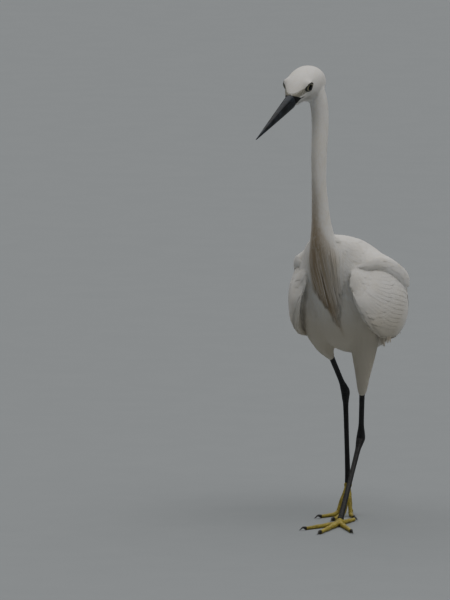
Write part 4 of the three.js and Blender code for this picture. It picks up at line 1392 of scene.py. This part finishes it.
def mandible(name, direction, share, shorter, groove_at, groove_depth):
    """Half of the bill, with a shallow groove that runs forward along its side."""
    sides, steps = 28, 70
    t = np.linspace(0, 1, steps)
    forward = BILL_BASE - BILL_SUNK + (CULMEN + BILL_SUNK - shorter) * t
    # The horn comes out of the face without an edge.
    out_of_face = 0.84 + 0.16 * smoothstep(forward, BILL_BASE - BILL_SUNK, BILL_BASE + 3)
    slim = (1 - t ** TAPER) * out_of_face
    width = (BILL_BASE_WIDTH / 2) * (TIP_WIDTH + (1 - TIP_WIDTH) * slim)
    height = BILL_BASE_DEPTH * share * (TIP_HEIGHT + (1 - TIP_HEIGHT) * slim)
    flat = mouth_height(forward) + direction * MOUTH_GAP
    angle = np.linspace(0, math.pi, sides)
    arch = np.sin(angle)[None] ** 0.85
    fade = smoothstep(t, 0.02, 0.08) * (1 - smoothstep(t, 0.45, 0.75))
    groove = np.exp(-((arch - groove_at) / 0.10) ** 2) * fade[:, None]
    groove = groove * (np.abs(np.cos(angle)) > 0.25)
    x = width[:, None] * np.cos(angle)[None] * (1 - groove_depth * groove)
    z = flat[:, None] + direction * height[:, None] * arch
    points = np.stack([x, np.repeat(-forward[:, None], sides, 1), z], -1)
    floor = np.stack([np.zeros(steps), -forward, flat], -1)[:, None]
    rings = np.concatenate([points, floor], axis=1).reshape(-1, 3)
    return make_solid(name, on_head(rings), ring_faces(steps, sides + 1), BILL, SHARP)


NOSTRIL_AT, NOSTRIL_LENGTH, NOSTRIL_RISE = 7, 8, 4.3


def nostril(side, name):
    rows = []
    for k in range(9):
        f = k / 8
        forward = BILL_BASE + NOSTRIL_AT + NOSTRIL_LENGTH * f
        size = 0.1 + 0.32 * math.sin(math.pi * f)
        width = (BILL_BASE_WIDTH / 2) * (1 - ((forward - BILL_BASE) / CULMEN) ** TAPER)
        rows.append([side * (width * 0.79 - 0.25), -forward,
                     mouth_height(forward) + NOSTRIL_RISE - 0.03 * k, 0.3, size, size])
    return make_solid("nostril_" + name, on_head(rings_along(rows, 10, 12)), ring_faces(12, 10),
                      NOSTRIL)


bill_upper = mandible("bill_upper_horn", 1, UPPER_SHARE, 0, 0.62, 0.10)
bill_lower = mandible("bill_lower_horn", -1, LOWER_SHARE, 2, 0.55, 0.06)
nostrils = [nostril(side, name) for name, side in SIDES]


# Eyes and lids

PUPIL_ANGLE, IRIS_ANGLE = 0.46, 0.68
CORNEA_RISE, CORNEA_ANGLE = 0.05, 0.45
# Rays to the skin round an eye start this far out.
EYE_RAY = 20


def eyeball(side, name):
    rings, sides = 40, 48
    phi = np.linspace(POLE, math.pi - POLE, rings)
    bulge = 1 + CORNEA_RISE * np.exp(-(phi / CORNEA_ANGLE) ** 2)
    points = ball_rings(side, EYE_RADIUS * np.repeat(bulge, sides), rings, sides)
    obj = make_solid("eye_" + name, points, ring_faces(rings, sides))
    for material in (PUPIL, IRIS, EYE_DARK):
        obj.data.materials.append(material)
    for face in obj.data.polygons:
        angle = phi[min(face.vertices) // sides]
        face.material_index = 0 if angle < PUPIL_ANGLE else 1 if angle < IRIS_ANGLE else 2
    return obj


def skin_height(side, a, b):
    """How far out the unsunk skin lies over places round an eye."""
    centre, out, back, up = eye_frame(side)
    start = on_head(centre + EYE_RAY * out + np.outer(a, back) + np.outer(b, up))
    inwards = Vector((-(HEAD_MATRIX @ out)).tolist())
    far = [whole_skin.ray_cast(Vector(p), inwards)[3] for p in to_scene(start).tolist()]
    return EYE_RAY - np.array(far) / MM


LID_POINTS, LID_LOOPS = 72, 10
LID_THICK, LID_FOLD = 0.15, 0.3


def lid_ring(side, name):
    """Bare lids that lie on the ball round an almond opening and run out into the skin."""
    centre, out, back, up = eye_frame(side)
    theta = np.arange(LID_POINTS) * TAU / LID_POINTS
    sine = np.sin(theta)
    inner_a, inner_b = OPEN_LENGTH * np.cos(theta), OPEN_RISE * np.abs(sine) ** 0.6 * sine
    outer_a = np.where(np.cos(theta) < 0, LID_FRONT, LID_BACK) * np.cos(theta)
    outer_b = LID_HEIGHT * np.abs(sine) ** 0.8 * sine
    rings = []
    for k in range(LID_LOOPS):
        f = k / (LID_LOOPS - 1)
        a, b = inner_a + (outer_a - inner_a) * f, inner_b + (outer_b - inner_b) * f
        skin_there = skin_height(side, a, b)
        fold = LID_FOLD * math.sin(math.pi * min(f * 1.6, 1))
        on_ball = ball_height(a, b) + LID_THICK + fold
        w = smoothstep(f, 0.0, 0.7)
        height = (1 - w) * np.maximum(on_ball, skin_there - 1.2) + w * (skin_there + 0.12)
        height = height - 0.5 * smoothstep(f, 0.85, 1.0)
        rings.append(centre + np.outer(height, out) + np.outer(a, back) + np.outer(b, up))
    inner, outer = rings[0] - 1.0 * out, rings[-1] - 1.5 * out
    faces = ring_faces(LID_LOOPS + 2, LID_POINTS)[:-2]
    points = on_head(np.vstack([inner] + rings + [outer]))
    return make_solid("eyelids_" + name, points, faces, LID)


eyes = {name: eyeball(side, name) for name, side in SIDES}
lids = [lid_ring(side, name) for name, side in SIDES]


# Legs and feet

# Stations of the shank from the feathers to the ankle, and of the tarsus from there to the
# toes: how far along each, and the radius.
SHANK = [(-0.03, BARE_TIBIA_RADIUS), (0.35, BARE_TIBIA_RADIUS * 0.95), (0.7, BARE_TIBIA_RADIUS),
         (0.88, ANKLE_RADIUS * 0.85)]
TARSUS = [(0.01, ANKLE_RADIUS), (0.07, ANKLE_RADIUS * 0.85), (0.16, TARSUS_RADIUS),
          (0.4, TARSUS_RADIUS * 0.9), (0.65, TARSUS_RADIUS * 0.9), (0.88, TARSUS_RADIUS),
          (0.97, TARSUS_RADIUS * 1.15)]
# The stations' share that is shank, and the heights of a scute on shank, tarsus and toes.
SHANK_SHARE = 0.4
SHANK_PITCH, TARSUS_PITCH, TOE_PITCH = 3.4, 3.0, 2.5
GROOVE, TOE_GROOVE = 0.28, 0.32
LEG_SIDES, LEG_STEPS = 28, 240
TOE_SIDES, TOE_STEPS = 22, 110
CLAW_SIDES, CLAW_STEPS = 14, 18
KNUCKLES = 9
TOE_DROOP = {"left": math.radians(32), "right": math.radians(62)}
HUB_SHARE = 1.35


def leg_rows(*joints):
    top, ankle, end = (np.array(p, float) for p in joints)
    return [[*(start + (stop - start) * t), radius, radius, radius]
            for start, stop, stations in ((top, ankle, SHANK), (ankle, end, TARSUS))
            for t, radius in stations]


def plated(rows, sides, steps, pitch, front, start=0.0, end=1.0, depth=GROOVE):
    """A scaled tube: plates across the front."""
    t, angle = round_grid(steps, sides, start, end)
    point = skin_point(rows, t, angle)
    out = unit(point - frame_at(rows, t)[0])
    paces = np.linalg.norm(np.diff(frame_at(rows, t[::sides])[0], axis=0), axis=1)
    run = np.repeat(np.concatenate([[0], np.cumsum(paces)]), sides)
    plate = np.abs(np.mod(run / pitch, 1) - 0.5) * 2
    ridge = -depth * smoothstep(np.cos(angle - front), 0.2, 0.6) * smoothstep(plate, 0.72, 1.0)
    return point + out * ridge[:, None]


def toe_rows(joint, turn, length, droop, radius):
    """A toe that droops from its joint to the floor and lies on it, thicker at its knuckles."""
    heading = np.array([math.sin(turn), -math.cos(turn), 0])
    place = np.array(joint, float)
    step = length / KNUCKLES
    rows = []
    for i in range(KNUCKLES + 1):
        t = i / KNUCKLES
        size = radius * (1 - 0.35 * t) * (1 + 0.1 * math.cos(t * math.pi * 6))
        rows.append([*place, size, size, size])
        drop = min(max(place[2] - size * 0.82, 0), step * math.sin(droop))
        place = place + heading * math.sqrt(step ** 2 - drop ** 2) - np.array([0, 0, drop])
    return rows


def claw_rows(rows):
    place, along, _, _, _ = frame_at(rows, 1.0)
    radius = rows[-1][3]
    stations = []
    for t in np.linspace(0, 1, 6):
        point = place[0] + along[0] * CLAW_LENGTH * t
        size = radius * 0.85 * (1 - 0.85 * t)
        lift = 1.6 * math.sin(math.pi * min(t * 1.1, 1)) - 1.2 * t * t
        point[2] = max(point[2] + lift, size + 0.3)
        stations.append([*point, size, size, size])
    return stations


def tube_object(name, points, sides, steps, material):
    """A closed tube, flat where it would reach below the floor."""
    points = np.maximum(points, (-np.inf, -np.inf, 0.0))
    return make_solid(name, points, ring_faces(steps, sides), material, SHARP)


def joined(objects, name):
    """Several meshes as one object."""
    bm = bmesh.new()
    for obj in objects:
        bm.from_mesh(obj.data)
    mesh = bpy.data.meshes.new(name)
    bm.to_mesh(mesh)
    bm.free()
    mesh.materials.append(objects[0].data.materials[0])
    whole = linked(name, mesh)
    for obj in objects:
        bpy.data.objects.remove(obj)
    finish_normals(whole, SHARP)
    return whole


def leg(name, side):
    """Shank, tarsus, foot and claws. Each claw comes with the node that it stands for."""
    rows = leg_rows(*LEGS[name])
    joint = LEGS[name][2]
    count = int(LEG_STEPS * SHANK_SHARE)
    parts = [("leg_shank_", count, SHANK_PITCH, 0, SHANK_SHARE),
             ("leg_tarsus_", LEG_STEPS - count, TARSUS_PITCH, SHANK_SHARE, 1)]
    shank, tarsus = (
        tube_object(part + name, plated(rows, LEG_SIDES, steps, pitch, -math.pi / 2, start, end),
                    LEG_SIDES, steps, LEG)
        for part, steps, pitch, start, end in parts)
    toes, claws = [], []
    for toe_name, turn, length, share in TOES:
        line = toe_rows(joint, side * turn, length, TOE_DROOP[name], TOE_RADIUS * share)
        points = plated(line, TOE_SIDES, TOE_STEPS, TOE_PITCH, math.pi / 2, depth=TOE_GROOVE)
        toes.append(tube_object("toe", points, TOE_SIDES, TOE_STEPS, FOOT))
        points = rings_along(claw_rows(line), CLAW_SIDES, CLAW_STEPS)
        claw = tube_object(f"claw_{name}_{toe_name}_horn", points, CLAW_SIDES, CLAW_STEPS, CLAW)
        claws.append((claw, f"claw_{name}_{toe_name}"))
    ball = TOE_RADIUS * HUB_SHARE
    hub_rows = [[joint[0], joint[1], joint[2] + ball * math.cos(a),
                 *([max(ball * math.sin(a), 0.05)] * 3)] for a in np.linspace(0, math.pi, 9)]
    toes.append(tube_object("hub", rings_along(hub_rows, TOE_SIDES, 20), TOE_SIDES, 20, FOOT))
    return shank, tarsus, joined(toes, "foot_scaled_" + name), claws


legs = {name: leg(name, side) for name, side in SIDES}


# Each piece hangs from the root, and the solids that it stands for are hidden

FLESH = ["head", "neck_upper", "neck_lower", "torso", "tail", "thigh_left", "thigh_right",
         "wing_left", "wing_right"]


def belongs(obj, slot, *nodes):
    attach(obj, "root")
    if nodes:
        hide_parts(*nodes)


belongs(skin, "plumage", *FLESH)
for piece in coat_pieces:
    belongs(piece, "plumage")
belongs(bill_upper, "bill", "bill_upper")
belongs(bill_lower, "bill", "bill_lower")
for piece in nostrils:
    belongs(piece, "bill")
for name, _ in SIDES:
    belongs(eyes[name], "eye", "eye_" + name)
    shank, tarsus, foot, claws = legs[name]
    belongs(shank, "leg", "shank_" + name)
    belongs(tarsus, "leg", "tarsus_" + name)
    belongs(foot, "foot", "foot_" + name)
    for claw, node in claws:
        belongs(claw, "claw", node)
for piece in lids:
    belongs(piece, "plumage")


# Floor, light and camera

AZIMUTH = math.radians(18)
ELEVATION = math.radians(7)
RIGHT = np.array([math.cos(AZIMUTH), math.sin(AZIMUTH), 0])
# Towards the camera.
BACK = np.array([math.sin(AZIMUTH) * math.cos(ELEVATION),
                 -math.cos(AZIMUTH) * math.cos(ELEVATION), math.sin(ELEVATION)])
UP = np.cross(BACK, RIGHT)
# The middle of the picture, from the top of the left leg's bare part.
TARGET = np.array([12.0, 4, 125]) - 137 * RIGHT + 96 * UP + SHIFT
CAMERA_DISTANCE = 14.0
FIELD = 0.6
SENSOR = 36
FLOOR_HALF = 80000
FLOOR_DROP = -0.2
# Where the lights point.
LIGHT_CENTRE = np.array([0, 0, 0.27])


def aim(obj, place, target):
    obj.location = place
    obj.rotation_euler = (Vector(target) - Vector(place)).to_track_quat("-Z", "Y").to_euler()


def add_floor():
    nodes = Nodes("studio_floor")
    grain = nodes.noise(nodes.place(), 0.02)
    nodes.feed(nodes.mix(grain, (0.235, 0.255, 0.27, 1), (0.255, 0.275, 0.29, 1)),
               nodes.shader.inputs["Base Color"])
    nodes.shader.inputs["Roughness"].default_value = 0.9
    corners = [[x * FLOOR_HALF, y * FLOOR_HALF, FLOOR_DROP]
               for x, y in ((-1, -1), (1, -1), (1, 1), (-1, 1))]
    floor = make_object("floor", corners, [(0, 1, 2, 3)], nodes.material, False)


def add_light(name, energy, spread, offset, colour):
    """A soft light from the side that the offset points to, as even on the floor as on the bird."""
    data = bpy.data.lights.new(name, "SUN")
    data.energy = energy
    data.angle = math.radians(spread)
    data.color = colour
    aim(linked(name, data), LIGHT_CENTRE + offset, LIGHT_CENTRE)


def add_camera():
    data = bpy.data.cameras.new("camera")
    data.sensor_fit = "VERTICAL"
    data.sensor_height = SENSOR
    data.sensor_width = SENSOR
    data.lens = SENSOR * CAMERA_DISTANCE / FIELD
    data.clip_end = 100
    obj = linked("camera", data)
    target = TARGET * MM
    aim(obj, target + BACK * CAMERA_DISTANCE, target)
    bpy.context.scene.camera = obj


add_floor()
world = bpy.data.worlds.new("studio")
world.use_nodes = True
background = world.node_tree.nodes["Background"]
background.inputs["Color"].default_value = (0.72, 0.70, 0.66, 1)
background.inputs["Strength"].default_value = 0.04
bpy.context.scene.world = world
add_light("sky", 2.3, 100, 0.1 * RIGHT + np.array([0, 0, 2.3]) - 0.5 * BACK, (1, 0.99, 0.97))
add_light("key", 0.75, 50, 0.9 * RIGHT + np.array([0, 0, 1.8]) + 1.1 * BACK, (1, 0.98, 0.94))
add_camera()
